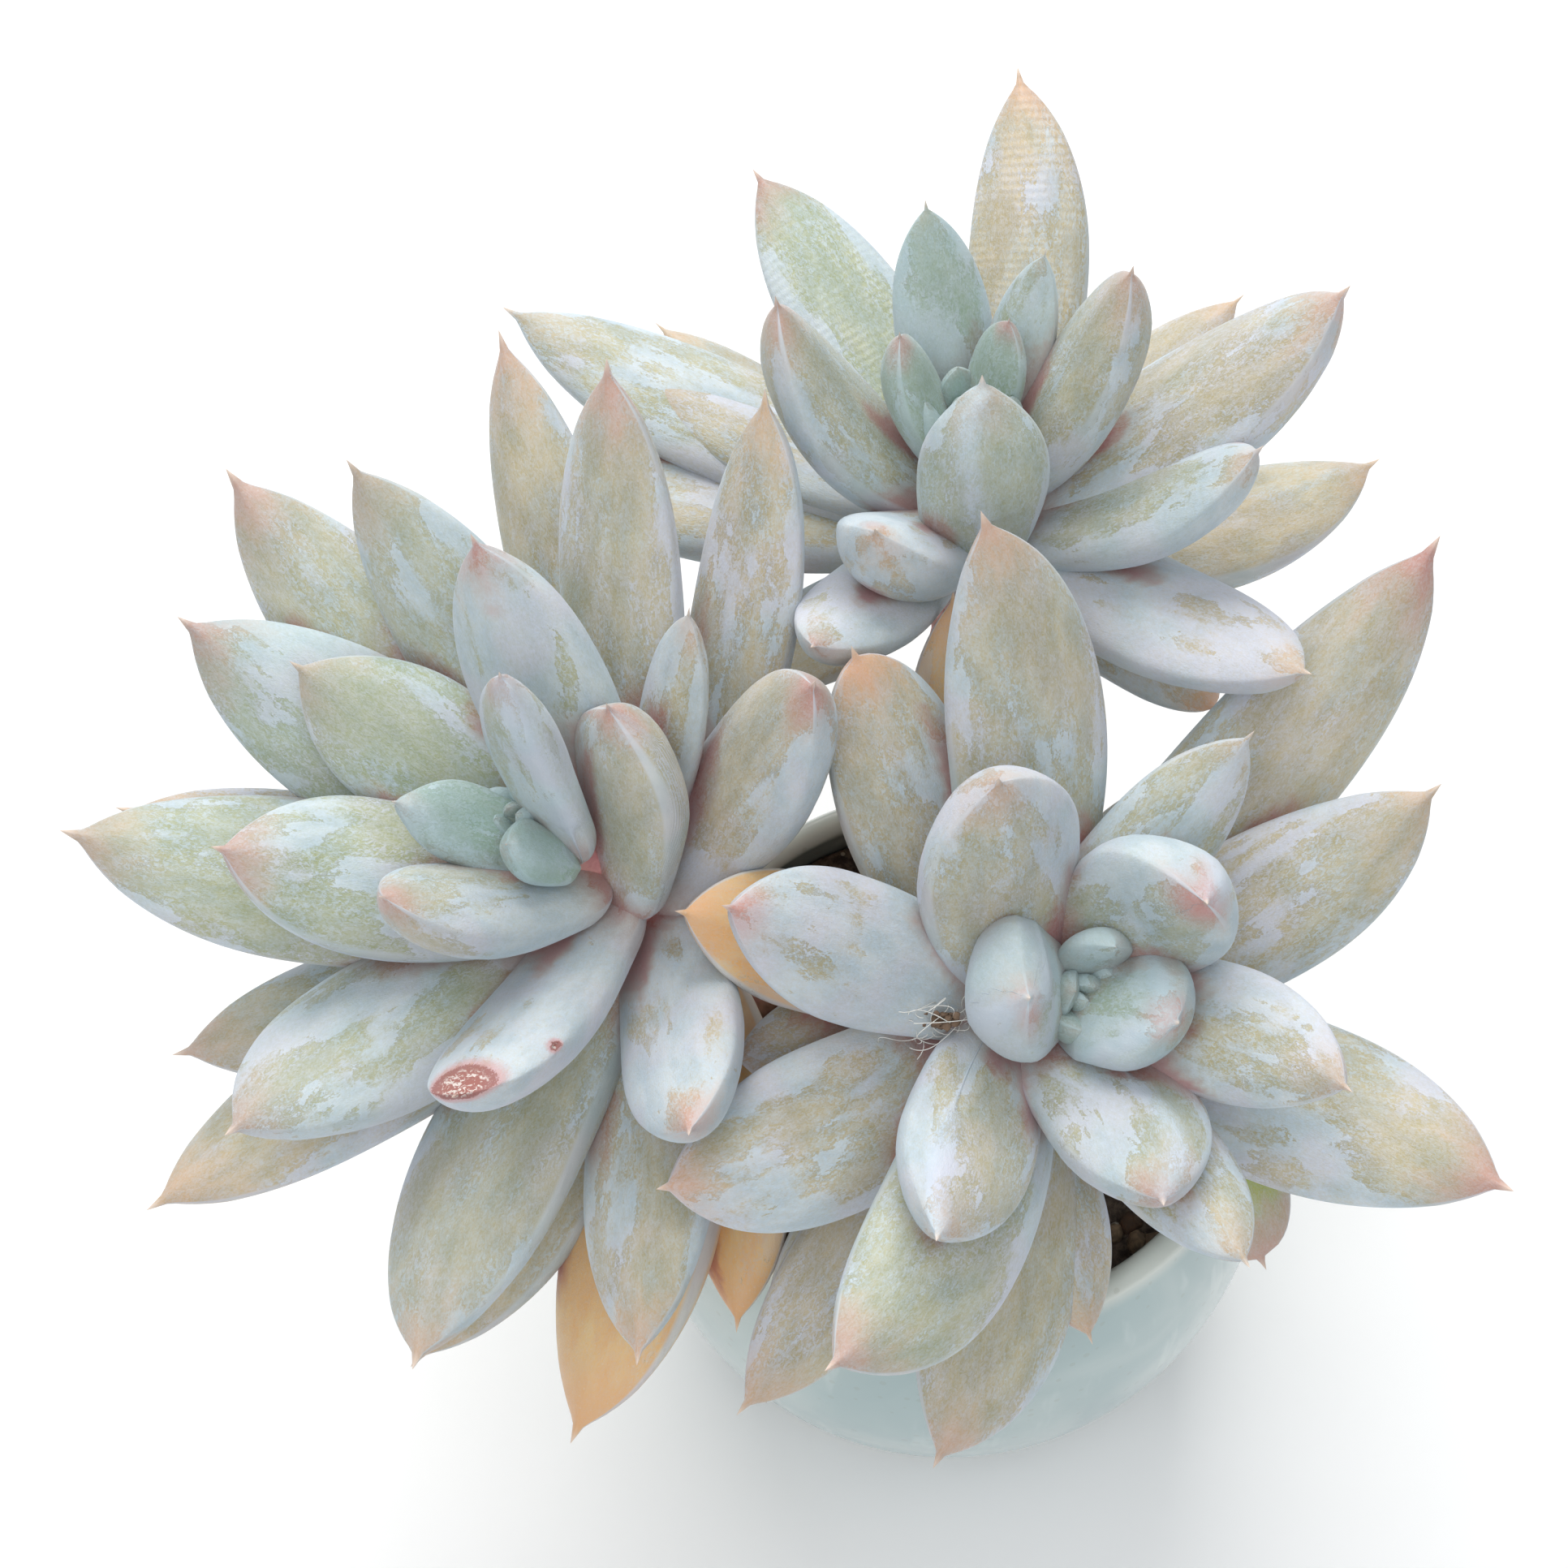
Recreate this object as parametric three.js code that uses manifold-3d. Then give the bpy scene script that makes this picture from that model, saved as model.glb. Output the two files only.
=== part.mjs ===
// A potted snow vampire echeveria: three rosettes of fat pointed leaves on short stems, in a round glazed pot.
// Millimetres, +Z up. The origin is the centre of the pot's foot and -Y is the side seen first.
import * as THREE from 'three';
import { mergeVertices } from 'three/addons/utils/BufferGeometryUtils.js';
import Module from 'manifold-3d';

const wasm = await Module();
wasm.setup();

// Pot: its outer wall is part of an ellipse turned about Z.
const POT_HEIGHT = 57;
const BELLY_RADIUS = 38;
const BELLY_HEIGHT = 36;
const BELLY_HALF_RISE = 48;
const WALL = 3.2;
const FLOOR = 5;
const FOOT_BEVEL = 1;
const POT_SIDES = 40;
const WALL_RINGS = 7;
const LIP_RINGS = 4;
const DRAIN_COUNT = 3;
const DRAIN_RADIUS = 3;
const DRAIN_CIRCLE = 12;
const DRAIN_SIDES = 12;

// Potting mix, one body that fills the pot to a low mound.
const SOIL_EDGE_HEIGHT = 48;
const SOIL_MOUND = 2;
const SOIL_SIDES = POT_SIDES;
const SOIL_RINGS = 5;
const SOIL_BUMP = 0.5;
const SOIL_FLAT = 0.01;
const SOIL_BUMP_ACROSS = 0.9;
const SOIL_BUMP_ALONG = 1.1;

// Stems stand in holes in the mix and end just under the crown of their rosette.
const STEM_RADIUS = 4.6;
const STEM_SIDES = 10;
const STEM_STEPS = 10;
const STEM_FOOT_HEIGHT = 36;
const STEM_HOLE_MARGIN = 0.5;
const CLEARANCE = 0.3;

// Crown: the short core of a rosette that its leaves grow from.
const CROWN_BELOW = 10;
const CROWN_SIDES = 12;
const CROWN_TOP_RADIUS = 2.5;

// Leaf form, the same for every leaf: share of the length where it is widest, width of its root as a share of
// the widest width, thickness as a share of the width, and how much of that lies above and below the middle.
const PEAK = 0.54;
const ROOT_WIDTH = 0.56;
const ROOT_THICKNESS = 0.8;
const THICKNESS = 0.56;
const UPPER_SHARE = 0.72;
const LOWER_SHARE = 1.25;
const THICKEST = 1.1;

// Powers that shape the outline: how it swells from the root, how it closes at the tip, how round the section is.
const WIDTH_SWELL = 1.15;
const WIDTH_CLOSE = 2.1;
const THICKNESS_CLOSE = 2.3;
const THICKNESS_POINT = 0.8;
const EDGE_ROUND = 0.92;
const FACE_ROUND = 0.95;

// How finely the skin is faceted: sides around it, and the shares of the length where its rings lie.
const LEAF_SIDES = 8;
const LEAF_STATIONS = [0, 0, 0.2, 0.4, 0.58, 0.77, 0.92, 1];
const HEART_SIDES = 6;
const HEART_STATIONS = [0, 0, 0.3, 0.6, 0.88, 1];
const SPINE_STEPS = 20;

// Heart: the small tight leaves at the middle of a rosette, set by the golden angle.
const HEART_LEAVES = 6;
const GOLDEN_ANGLE = 137.5;
const HEART_SHRINK = 0.45;
const HEART_LEAN = 24;
const HEART_LEAN_DROP = 18;
const HEART_CLIMB = 2.5;
const HEART_CURL = 40;

// Each leaf row: turn about the rosette's axis, lean from that axis, length, width, height of its root on the
// axis, curl toward the axis, sideways sway, and now and then a change to the common form: how far out the root
// starts, how sharply the tip closes, how wide the root is, or how far the leaf stands off the axis in X and Y.
const ROSETTES = {
  left: {
    base: [-34, 7, 78.5],
    lean: 29,
    turn: 209,
    crown: 24,
    stemFoot: [-14, 5],
    stemRise: 12,
    stemTopHandle: 7,
    heart: { start: 150, height: 22, length: 9, width: 4.5, shift: [-2.2, 3.9] },
    leaves: [
      [176, 51, 62, 18, 6, 20, -15],
      [182, 37, 46, 17.5, 10, 25, -10],
      [139, 48, 42, 16.5, 11, 15, 0],
      [144, 51, 58, 18, 5, 15, -10],
      [127, 56, 66, 17.5, 2, 12, -18],
      [110, 49, 57, 15, 6, 20, 0],
      [86, 39, 46, 15.5, 10, 10, 0],
      [63, 26, 31, 9.5, 20, 2, -20, { point: 1.1, root: 0.75, shift: [0.7, 1] }],
      [45, 35, 32.5, 15.5, 9, 22, 10, { point: 1.3, root: 0.8, out: -1 }],
      [230, 18, 35.5, 13, 13.5, 31, 5, { root: 0.7 }],
      [166, 27, 23, 9, 19.5, 25, 3, { point: 1.35, shift: [0, 1] }],
      [189, 5, 13, 7, 21.5, 14, 18, { point: 1.5, shift: [0, -1], out: -1.5 }],
      [227, 48, 56, 18.5, 4, 22, 25],
      [200, 66, 55, 15, 1, 15, -5],
      [217, 65, 64, 16, 1, 12, 8],
      [268, 40, 45, 13.5, 8, 37, 22, { point: 0.6, root: 0.7 }],
      [254, 68, 60, 18, 2, 17, 30],
      [239, 90, 58, 16.5, 0, 13, -14],
      [274, 80, 53, 15, 1, 20, 4],
      [258, 93, 60, 18, -2, 10, -25],
      [300, 54, 45, 14.5, 1, 28, 8],
      [20, 51, 48, 15.5, 3, 30, -10],
      [60, 63, 61, 13.5, 1, 27, 10],
      [75, 58, 60, 15, 6, 18, -8],
      [95, 65, 65, 13.5, 1, 13, -5],
      [49, 51, 39, 9, 7, 20, -6],
      [170, 56, 60, 14, 0, 15, -6],
      [276, 101, 48, 13.5, -2, 20, -25],
      [156, 88, 46, 13, -3, 15, 0],
      [118, 86, 46, 13, -3, 15, 0],
      [188, 88, 44, 13, -3, 15, 0],
      [224, 96, 42, 13, -3, 15, 0],
    ],
  },
  back: {
    base: [1, 46.5, 94],
    lean: 4,
    turn: 113,
    crown: 15,
    stemFoot: [2, 14],
    stemRise: 16,
    stemTopHandle: 10,
    heart: { start: 200, height: 13, length: 14, width: 6, shift: [0, 0] },
    leaves: [
      [82, 63, 53, 14, 2, 17, 30],
      [122, 70, 48, 14.5, 2, 12, 12],
      [106, 30, 34, 11, 7, 13, 0],
      [52, 25, 31, 8, 7, 16, 0],
      [5, 24, 41, 14, 5, 30, 0],
      [2, 47, 54, 17, 2, 28, 5],
      [338, 50, 43, 14, 2, 40, 10],
      [17, 98, 52, 15, 0, 30, 30],
      [39, 80, 42, 10, 2, 15, 0],
      [178, 31, 41, 14, 5, 40, -20],
      [158, 76, 58, 15, 1, 17, 0],
      [145, 80, 44, 10, 0, 18, -8],
      [160, 78, 40, 10, 3, 20, -10],
      [170, 20, 23, 9.5, 11, 25, -8],
      [38, 14, 21, 7.5, 12, 12, -5],
      [275, 5, 33, 14.5, 4, 45, 0, { out: 5 }],
      [243, 45, 34, 14.5, 4, 48, 5],
      [241, 63, 41, 12, 3, 35, 12],
      [316, 72, 51, 14.5, 2, 35, -15],
      [326, 104, 35, 12, -2, 10, -30, { point: 0.7 }],
      [176, 80, 52, 13, -1, 13, -5],
      [104, 96, 42, 14, -3, 15, 0],
      [62, 98, 42, 14, -3, 15, 0],
      [150, 104, 40, 13, -3, 15, 0],
      [352, 112, 38, 13, -2, 15, 0],
      [205, 104, 34, 12, -3, 15, 0],
      [26, 116, 36, 12, -2, 15, 0],
      [84, 118, 34, 12, -2, 15, 0],
    ],
  },
  right: {
    base: [3, -5, 76],
    lean: 30,
    turn: 303,
    crown: 17,
    stemFoot: [3, -2],
    stemRise: 12,
    stemTopHandle: 8,
    heart: { start: 250, height: 13.5, length: 9, width: 5, shift: [3.6, 1.3] },
    leaves: [
      [104, 61, 60, 17, 5, 10, 35],
      [121, 66, 48, 15.5, 2, 20, 5, { point: 0.7 }],
      [118, 42, 39, 18, 9, 30, 10],
      [58, 54, 42, 12.5, 7, 15, 2],
      [51, 67, 71, 17, 1, 11, 25],
      [31, 60, 54, 16, 4, 17, 30],
      [50, 16, 36, 17, 8, 60, 0, { out: 4 }],
      [340, 34, 45, 14, 7, 25, -35],
      [337, 54, 60, 18, 2, 30, -15],
      [284, 33, 38, 16, 7, 10, -40],
      [298, 40, 46, 13, 4, 14, -20],
      [314, 72, 42, 17, 0, 10, -50, { point: 0.6 }],
      [232, 47, 40, 15, 8, 13, -4],
      [232, 60, 54, 18, 4, -10, -45],
      [260, 84, 51, 17.5, 0, 5, -45],
      [237, 92, 52, 14, -1, 11, -20],
      [240, 94, 49, 14, -1, 12, 0],
      [204, 77, 47, 18, 4, 10, -30],
      [165, 64, 44, 15, 9, 15, 5],
      [165, 78, 41, 15, 2, 22, 15],
      [185, 30, 21, 15.5, 14.5, 54, 18, { point: 1.1, shift: [3.2, 1.9] }],
      [325, 16, 22, 13.5, 12.5, 12, -7, { point: 0.8, shift: [3.6, 2] }],
      [84, 23, 15, 7, 14.5, 65, 5, { out: -0.5, shift: [3.6, 1.3] }],
      [99, 79, 47, 11.5, 0, 10, -10],
      [352, 84, 44, 13, -3, 15, 0],
      [20, 86, 44, 13, -3, 15, 0],
      [42, 94, 42, 13, -3, 15, 0],
      [76, 100, 34, 12, -3, 15, 0],
      [286, 82, 38, 13, -2, 8, 0],
      [190, 90, 30, 12, -1, 10, 0],
    ],
  },
};

const COLOURS = {
  pot: { color: 0xc3d2cf, roughness: 0.25, metalness: 0 },
  soil: { color: 0x4a3a2e, roughness: 0.95, metalness: 0 },
  stem: { color: 0xc98d86, roughness: 0.6, metalness: 0 },
  leaf: { color: 0xb4bebd, roughness: 0.65, metalness: 0 },
};

// A closed geometry, with its shared corners merged, as a solid that can be joined and cut.
function toSolid(geometry) {
  const bare = geometry.clone();
  bare.deleteAttribute('normal');
  bare.deleteAttribute('uv');
  const merged = mergeVertices(bare);
  const mesh = new wasm.Mesh({
    numProp: 3,
    vertProperties: new Float32Array(merged.getAttribute('position').array),
    triVerts: new Uint32Array(merged.getIndex().array),
  });
  return new wasm.Manifold(mesh);
}

function toGeometry(solid) {
  const mesh = solid.getMesh();
  const geometry = new THREE.BufferGeometry();
  geometry.setAttribute('position', new THREE.BufferAttribute(mesh.vertProperties, 3));
  geometry.setIndex(new THREE.BufferAttribute(mesh.triVerts, 1));
  return geometry;
}

// The body with the most material; the small shells that leaf roots close off inside it are filled by this.
function outerShell(solid) {
  const shells = solid.decompose();
  shells.sort((a, b) => b.volume() - a.volume());
  return shells[0];
}

function namedMesh(name, geometry, colours) {
  const mesh = new THREE.Mesh(geometry, new THREE.MeshStandardMaterial(colours));
  mesh.name = name;
  return mesh;
}

function signedPower(value, exponent) {
  return Math.sign(value) * Math.abs(value) ** exponent;
}

// Direction of a leaf's middle line at the share t of its length, in the leaf's own upright plane.
function spineDirection(leaf, t) {
  const angle = THREE.MathUtils.degToRad(leaf.lean + leaf.curl * (0.5 - t));
  const sway = THREE.MathUtils.degToRad(leaf.sway) * (t - 0.5);
  return new THREE.Vector3(
    Math.sin(angle) * Math.cos(sway),
    Math.sin(sway),
    Math.cos(angle) * Math.cos(sway),
  );
}

function spinePoint(leaf, t) {
  const point = new THREE.Vector3(leaf.out, 0, 0);
  const step = t / SPINE_STEPS;
  for (let i = 0; i < SPINE_STEPS; i += 1) {
    point.addScaledVector(spineDirection(leaf, (i + 0.5) * step), step * leaf.length);
  }
  return point;
}

// Half the width and half the thickness at t: they grow to the widest place, then close to a point.
function leafSection(leaf, t) {
  const toPeak = Math.min(t / PEAK, 1);
  const pastPeak = Math.max((t - PEAK) / (1 - PEAK), 0);
  const rise = Math.sin((Math.PI / 2) * toPeak);
  let wide = leaf.root + (1 - leaf.root) * rise ** WIDTH_SWELL;
  let thick = ROOT_THICKNESS + (1 - ROOT_THICKNESS) * rise;
  if (pastPeak > 0) {
    wide = (1 - pastPeak ** WIDTH_CLOSE) ** leaf.point;
    thick = (1 - pastPeak ** THICKNESS_CLOSE) ** THICKNESS_POINT;
  }
  const halfWidth = (leaf.width / 2) * wide;
  const halfThickness = Math.min((leaf.width / 2) * THICKNESS * thick, halfWidth * THICKEST);
  return { halfWidth, halfThickness };
}

// A point of the leaf's skin: "around" runs once about the middle line, and "size" is 0 at either end.
function leafPoint(leaf, t, around, size) {
  const angle = THREE.MathUtils.degToRad(leaf.lean + leaf.curl * (0.5 - t));
  const upward = new THREE.Vector3(-Math.cos(angle), 0, Math.sin(angle));
  const sideways = spineDirection(leaf, t).cross(upward);
  const { halfWidth, halfThickness } = leafSection(leaf, t);
  const share = Math.sin(around) > 0 ? UPPER_SHARE : LOWER_SHARE;
  const across = size * halfWidth * signedPower(Math.cos(around), EDGE_ROUND);
  const up = size * halfThickness * share * signedPower(Math.sin(around), FACE_ROUND);
  return spinePoint(leaf, t).addScaledVector(sideways, across).addScaledVector(upward, up);
}

// A ball whose rings are moved onto the leaf's sections, so the skin is closed at the root and at the tip.
function leafGeometry(leaf, sides, stations) {
  const ball = new THREE.SphereGeometry(1, sides, stations.length - 1);
  const position = ball.getAttribute('position');
  for (let i = 0; i < position.count; i += 1) {
    const ring = Math.floor(i / (sides + 1));
    const around = (2 * Math.PI * (i % (sides + 1))) / sides;
    const size = ring === 0 || ring === stations.length - 1 ? 0 : 1;
    const point = leafPoint(leaf, stations[ring], around, size);
    position.setXYZ(i, point.x, point.y, point.z);
  }
  ball.rotateZ(THREE.MathUtils.degToRad(leaf.turn));
  ball.translate(...leaf.shift, leaf.height);
  return ball;
}

function leafFromRow([turn, lean, length, width, height, curl, sway, changes]) {
  const common = { out: 0, point: 1, root: ROOT_WIDTH, shift: [0, 0] };
  return { turn, lean, length, width, height, curl, sway, ...common, ...changes };
}

// The heart's leaves get smaller, steeper and higher from the first to the last.
function heartLeaf(heart, index) {
  const share = index / (HEART_LEAVES - 1);
  const size = 1 - HEART_SHRINK * share;
  return {
    turn: heart.start + GOLDEN_ANGLE * index,
    lean: HEART_LEAN - HEART_LEAN_DROP * share,
    length: heart.length * size,
    width: heart.width * size,
    height: heart.height + HEART_CLIMB * share,
    curl: HEART_CURL,
    sway: 0,
    out: 0,
    point: 1,
    root: ROOT_WIDTH,
    shift: heart.shift,
  };
}

// The crown's top half leans over until its end stands under the heart.
function crownGeometry(rosette) {
  const height = rosette.crown + CROWN_BELOW;
  const core = new THREE.CylinderGeometry(CROWN_TOP_RADIUS, STEM_RADIUS, height, CROWN_SIDES, 2);
  core.rotateX(Math.PI / 2);
  const position = core.getAttribute('position');
  const [shiftX, shiftY] = rosette.heart.shift;
  for (let i = 0; i < position.count; i += 1) {
    const lean = Math.max((2 * position.getZ(i)) / height, 0);
    position.setX(i, position.getX(i) + shiftX * lean);
    position.setY(i, position.getY(i) + shiftY * lean);
  }
  core.translate(0, 0, height / 2 - CROWN_BELOW);
  return core;
}

// One rosette, about its own axis: crown, leaves and heart joined in one solid.
function rosetteGeometry(rosette) {
  let solid = toSolid(crownGeometry(rosette));
  for (const row of rosette.leaves) {
    solid = solid.add(toSolid(leafGeometry(leafFromRow(row), LEAF_SIDES, LEAF_STATIONS)));
  }
  for (let i = 0; i < HEART_LEAVES; i += 1) {
    solid = solid.add(toSolid(leafGeometry(heartLeaf(rosette.heart, i), HEART_SIDES, HEART_STATIONS)));
  }
  return toGeometry(outerShell(solid));
}

function axisDirection(rosette) {
  const lean = THREE.MathUtils.degToRad(rosette.lean);
  const turn = THREE.MathUtils.degToRad(rosette.turn);
  return new THREE.Vector3(
    Math.sin(lean) * Math.cos(turn),
    Math.sin(lean) * Math.sin(turn),
    Math.cos(lean),
  );
}

// Stands a rosette on its base, with its own Z along its axis and its own X as near to world X as it can be.
function placedRosette(name, rosette) {
  const axis = axisDirection(rosette);
  const forward = new THREE.Vector3(1, 0, 0).projectOnPlane(axis).normalize();
  const sideways = new THREE.Vector3().crossVectors(axis, forward);
  const holder = new THREE.Group();
  holder.position.set(...rosette.base);
  holder.quaternion.setFromRotationMatrix(new THREE.Matrix4().makeBasis(forward, sideways, axis));
  holder.add(namedMesh(name, rosetteGeometry(rosette), COLOURS.leaf));
  return holder;
}

// From its foot in the mix the stem goes straight up, then bends over to meet its crown end on.
function stemPath(rosette, drop) {
  const axis = axisDirection(rosette);
  const [x, y] = rosette.stemFoot;
  const foot = new THREE.Vector3(x, y, STEM_FOOT_HEIGHT - drop);
  const top = new THREE.Vector3(...rosette.base).addScaledVector(axis, -CROWN_BELOW - CLEARANCE);
  return new THREE.CubicBezierCurve3(
    foot,
    new THREE.Vector3(x, y, STEM_FOOT_HEIGHT + rosette.stemRise),
    top.clone().addScaledVector(axis, -rosette.stemTopHandle),
    top,
  );
}

function stemTube(rosette, radius, drop) {
  const corners = [];
  for (let i = 0; i < STEM_SIDES; i += 1) {
    const turn = (2 * Math.PI * i) / STEM_SIDES;
    corners.push(new THREE.Vector2(radius * Math.cos(turn), radius * Math.sin(turn)));
  }
  return new THREE.ExtrudeGeometry(new THREE.Shape(corners), {
    steps: STEM_STEPS,
    extrudePath: stemPath(rosette, drop),
    bevelEnabled: false,
  });
}

function potRadius(z) {
  return BELLY_RADIUS * Math.sqrt(1 - ((z - BELLY_HEIGHT) / BELLY_HALF_RISE) ** 2);
}

// Turns a profile of [radius, height] pairs about Z. It starts and ends on the axis, in an order that faces out.
function turned(profile, sides) {
  const lathe = new THREE.LatheGeometry(profile.map(([r, z]) => new THREE.Vector2(r, z)), sides);
  lathe.rotateX(Math.PI / 2);
  return lathe;
}

function potGeometry() {
  const lip = WALL / 2;
  const lipHeight = POT_HEIGHT - lip;
  const profile = [[0, 0], [potRadius(0) - FOOT_BEVEL, 0]];
  for (let i = 0; i <= WALL_RINGS; i += 1) {
    const z = FOOT_BEVEL + ((lipHeight - FOOT_BEVEL) * i) / WALL_RINGS;
    profile.push([potRadius(z), z]);
  }
  for (let i = 1; i <= LIP_RINGS; i += 1) {
    const turn = (Math.PI * i) / LIP_RINGS;
    const middle = potRadius(lipHeight) - lip;
    profile.push([middle + lip * Math.cos(turn), lipHeight + lip * Math.sin(turn)]);
  }
  for (let i = WALL_RINGS - 1; i >= 0; i -= 1) {
    const z = FLOOR + ((lipHeight - FLOOR) * i) / WALL_RINGS;
    profile.push([potRadius(z) - WALL, z]);
  }
  profile.push([0, FLOOR]);
  let solid = toSolid(turned(profile, POT_SIDES));
  for (let i = 0; i < DRAIN_COUNT; i += 1) {
    const turn = (2 * Math.PI * i) / DRAIN_COUNT;
    const hole = new THREE.CylinderGeometry(DRAIN_RADIUS, DRAIN_RADIUS, 3 * FLOOR, DRAIN_SIDES);
    hole.rotateX(Math.PI / 2);
    hole.translate(DRAIN_CIRCLE * Math.cos(turn), DRAIN_CIRCLE * Math.sin(turn), FLOOR / 2);
    solid = solid.subtract(toSolid(hole));
  }
  return toGeometry(solid);
}

// The mix fills the pot just clear of its wall, with a low bumpy mound on top and a hole for each stem.
function soilGeometry() {
  const inside = (z) => potRadius(z) - WALL - CLEARANCE;
  const bottom = FLOOR + CLEARANCE;
  const edge = inside(SOIL_EDGE_HEIGHT);
  const profile = [[0, bottom]];
  for (let i = 0; i <= WALL_RINGS; i += 1) {
    const z = bottom + ((SOIL_EDGE_HEIGHT - bottom) * i) / WALL_RINGS;
    profile.push([inside(z), z]);
  }
  for (let i = SOIL_RINGS - 1; i >= 0; i -= 1) {
    const share = i / SOIL_RINGS;
    profile.push([edge * share, SOIL_EDGE_HEIGHT + SOIL_MOUND * (1 - share * share)]);
  }
  const lathe = turned(profile, SOIL_SIDES);
  const position = lathe.getAttribute('position');
  for (let i = 0; i < position.count; i += 1) {
    const x = position.getX(i);
    const y = position.getY(i);
    const z = position.getZ(i);
    if (z > SOIL_EDGE_HEIGHT + SOIL_FLAT) {
      position.setZ(i, z + SOIL_BUMP * Math.sin(SOIL_BUMP_ACROSS * x) * Math.cos(SOIL_BUMP_ALONG * y));
    }
  }
  let solid = toSolid(lathe);
  for (const rosette of Object.values(ROSETTES)) {
    const hole = stemTube(rosette, STEM_RADIUS + STEM_HOLE_MARGIN, CLEARANCE);
    solid = solid.subtract(toSolid(hole));
  }
  return toGeometry(solid);
}

const plant = new THREE.Group();
plant.add(namedMesh('pot', potGeometry(), COLOURS.pot));
plant.add(namedMesh('soil', soilGeometry(), COLOURS.soil));
for (const [side, rosette] of Object.entries(ROSETTES)) {
  const stem = toGeometry(toSolid(stemTube(rosette, STEM_RADIUS, 0)));
  plant.add(namedMesh(`stem_${side}`, stem, COLOURS.stem));
  plant.add(placedRosette(`rosette_${side}`, rosette));
}

export default plant;
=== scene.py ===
"""The look of a potted snow vampire echeveria: three frosted rosettes on short stems in a celadon pot.
The plant and pot are sized in millimetres, the view in metres, and angles are in degrees."""
import math

import bpy
import numpy as np
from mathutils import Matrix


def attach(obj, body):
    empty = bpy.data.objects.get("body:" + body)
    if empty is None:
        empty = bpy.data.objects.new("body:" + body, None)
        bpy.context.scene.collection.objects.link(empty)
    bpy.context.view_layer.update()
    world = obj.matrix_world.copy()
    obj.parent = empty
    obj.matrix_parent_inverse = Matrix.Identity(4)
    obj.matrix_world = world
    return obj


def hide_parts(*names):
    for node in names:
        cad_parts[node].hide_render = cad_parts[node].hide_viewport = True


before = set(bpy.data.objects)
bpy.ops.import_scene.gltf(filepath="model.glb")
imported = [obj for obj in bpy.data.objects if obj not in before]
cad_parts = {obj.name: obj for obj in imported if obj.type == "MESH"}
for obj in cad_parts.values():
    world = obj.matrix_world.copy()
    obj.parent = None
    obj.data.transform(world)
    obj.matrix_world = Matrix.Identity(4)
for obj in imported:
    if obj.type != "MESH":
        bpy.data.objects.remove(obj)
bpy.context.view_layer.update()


# View: a camera that looks steeply down on the plant, over a plain pale floor. A wide soft light hangs above
# and behind, as on a bright cloudy day, and a dimmer one fills in from the front.
CAMERA_PLACE = (-0.0197, -0.1854, 0.4384)
CAMERA_TILT = 30.0
LENS = 84.7
SENSOR_WIDTH = 36.0
LIGHT_AIM = (0.0, 0.0, 0.08)
# Each light's place, width, power in watts and colour.
LIGHTS = {
    "key_light": ((-0.1, 0.6, 0.74), 0.75, 8.3, (1.0, 0.985, 0.96)),
    "sky_light": ((-0.1, -0.45, 0.85), 1.0, 5.1, (0.99, 0.99, 1.0)),
}
SKY_COLOUR = (0.94, 0.97, 1.0, 1.0)
SKY_STRENGTH = 0.38
FLOOR_REACH = 3.0
scene = bpy.context.scene

camera = bpy.data.objects.new("camera", bpy.data.cameras.new("camera"))
camera.location = CAMERA_PLACE
camera.rotation_euler = (math.radians(CAMERA_TILT), 0.0, 0.0)
camera.data.sensor_width = SENSOR_WIDTH
camera.data.lens = LENS
camera.data.clip_start = 0.01
scene.collection.objects.link(camera)
scene.camera = camera


def soft_light(name, place, width, power, colour):
    """A square area light of the given width at place, turned so that it shines toward LIGHT_AIM: about X by
    its angle from straight down, then about Z to the side that the aim lies on."""
    light = bpy.data.objects.new(name, bpy.data.lights.new(name, "AREA"))
    light.data.size = width
    light.data.energy = power
    light.data.color = colour
    light.location = place
    toward = np.array(LIGHT_AIM) - np.array(place)
    flat = math.hypot(toward[0], toward[1])
    light.rotation_euler = (math.atan2(flat, -toward[2]), 0.0, math.atan2(-toward[0], toward[1]))
    scene.collection.objects.link(light)


for name, (place, width, power, colour) in LIGHTS.items():
    soft_light(name, place, width, power, colour)

world = bpy.data.worlds.new("studio")
world.use_nodes = True
world.node_tree.nodes["Background"].inputs["Color"].default_value = SKY_COLOUR
world.node_tree.nodes["Background"].inputs["Strength"].default_value = SKY_STRENGTH
scene.world = world
scene.view_settings.view_transform = "Standard"
scene.view_settings.look = "None"

floor_mesh = bpy.data.meshes.new("floor")
floor_corners = [(x * FLOOR_REACH, y * FLOOR_REACH, 0) for x, y in ((-1, -1), (1, -1), (1, 1), (-1, 1))]
floor_mesh.from_pydata(floor_corners, [], [(0, 1, 2, 3)])
floor = bpy.data.objects.new("floor", floor_mesh)
scene.collection.objects.link(floor)
floor_paint = bpy.data.materials.new("floor_paint")
floor_paint.use_nodes = True
floor_shader = floor_paint.node_tree.nodes["Principled BSDF"]
floor_shader.inputs["Base Color"].default_value = (0.95, 0.95, 0.95, 1.0)
floor_shader.inputs["Roughness"].default_value = 0.9
floor_mesh.materials.append(floor_paint)


# Pot: a round-bellied pot thrown in pale clay and dipped in celadon glaze, with a soft lip and a flat foot.
# The glaze is paler on the lip, thinner there and with a painted highlight on the lit top. It stops just
# above the foot. Three holes drain the floor.
MM = 0.001
POT_HEIGHT = 57.0
BELLY_RADIUS = 38.0
BELLY_HEIGHT = 36.0
BELLY_HALF_RISE = 48.0
POT_SIDES = 160
WALL = 3.2
FLOOR_THICKNESS = 5.0
FOOT_BEVEL = 1.0
INNER_FILLET = 1.5
# How far in from the foot's edge the two rings of its flat face lie.
FOOT_RINGS = (3.4, 1.4)
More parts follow.
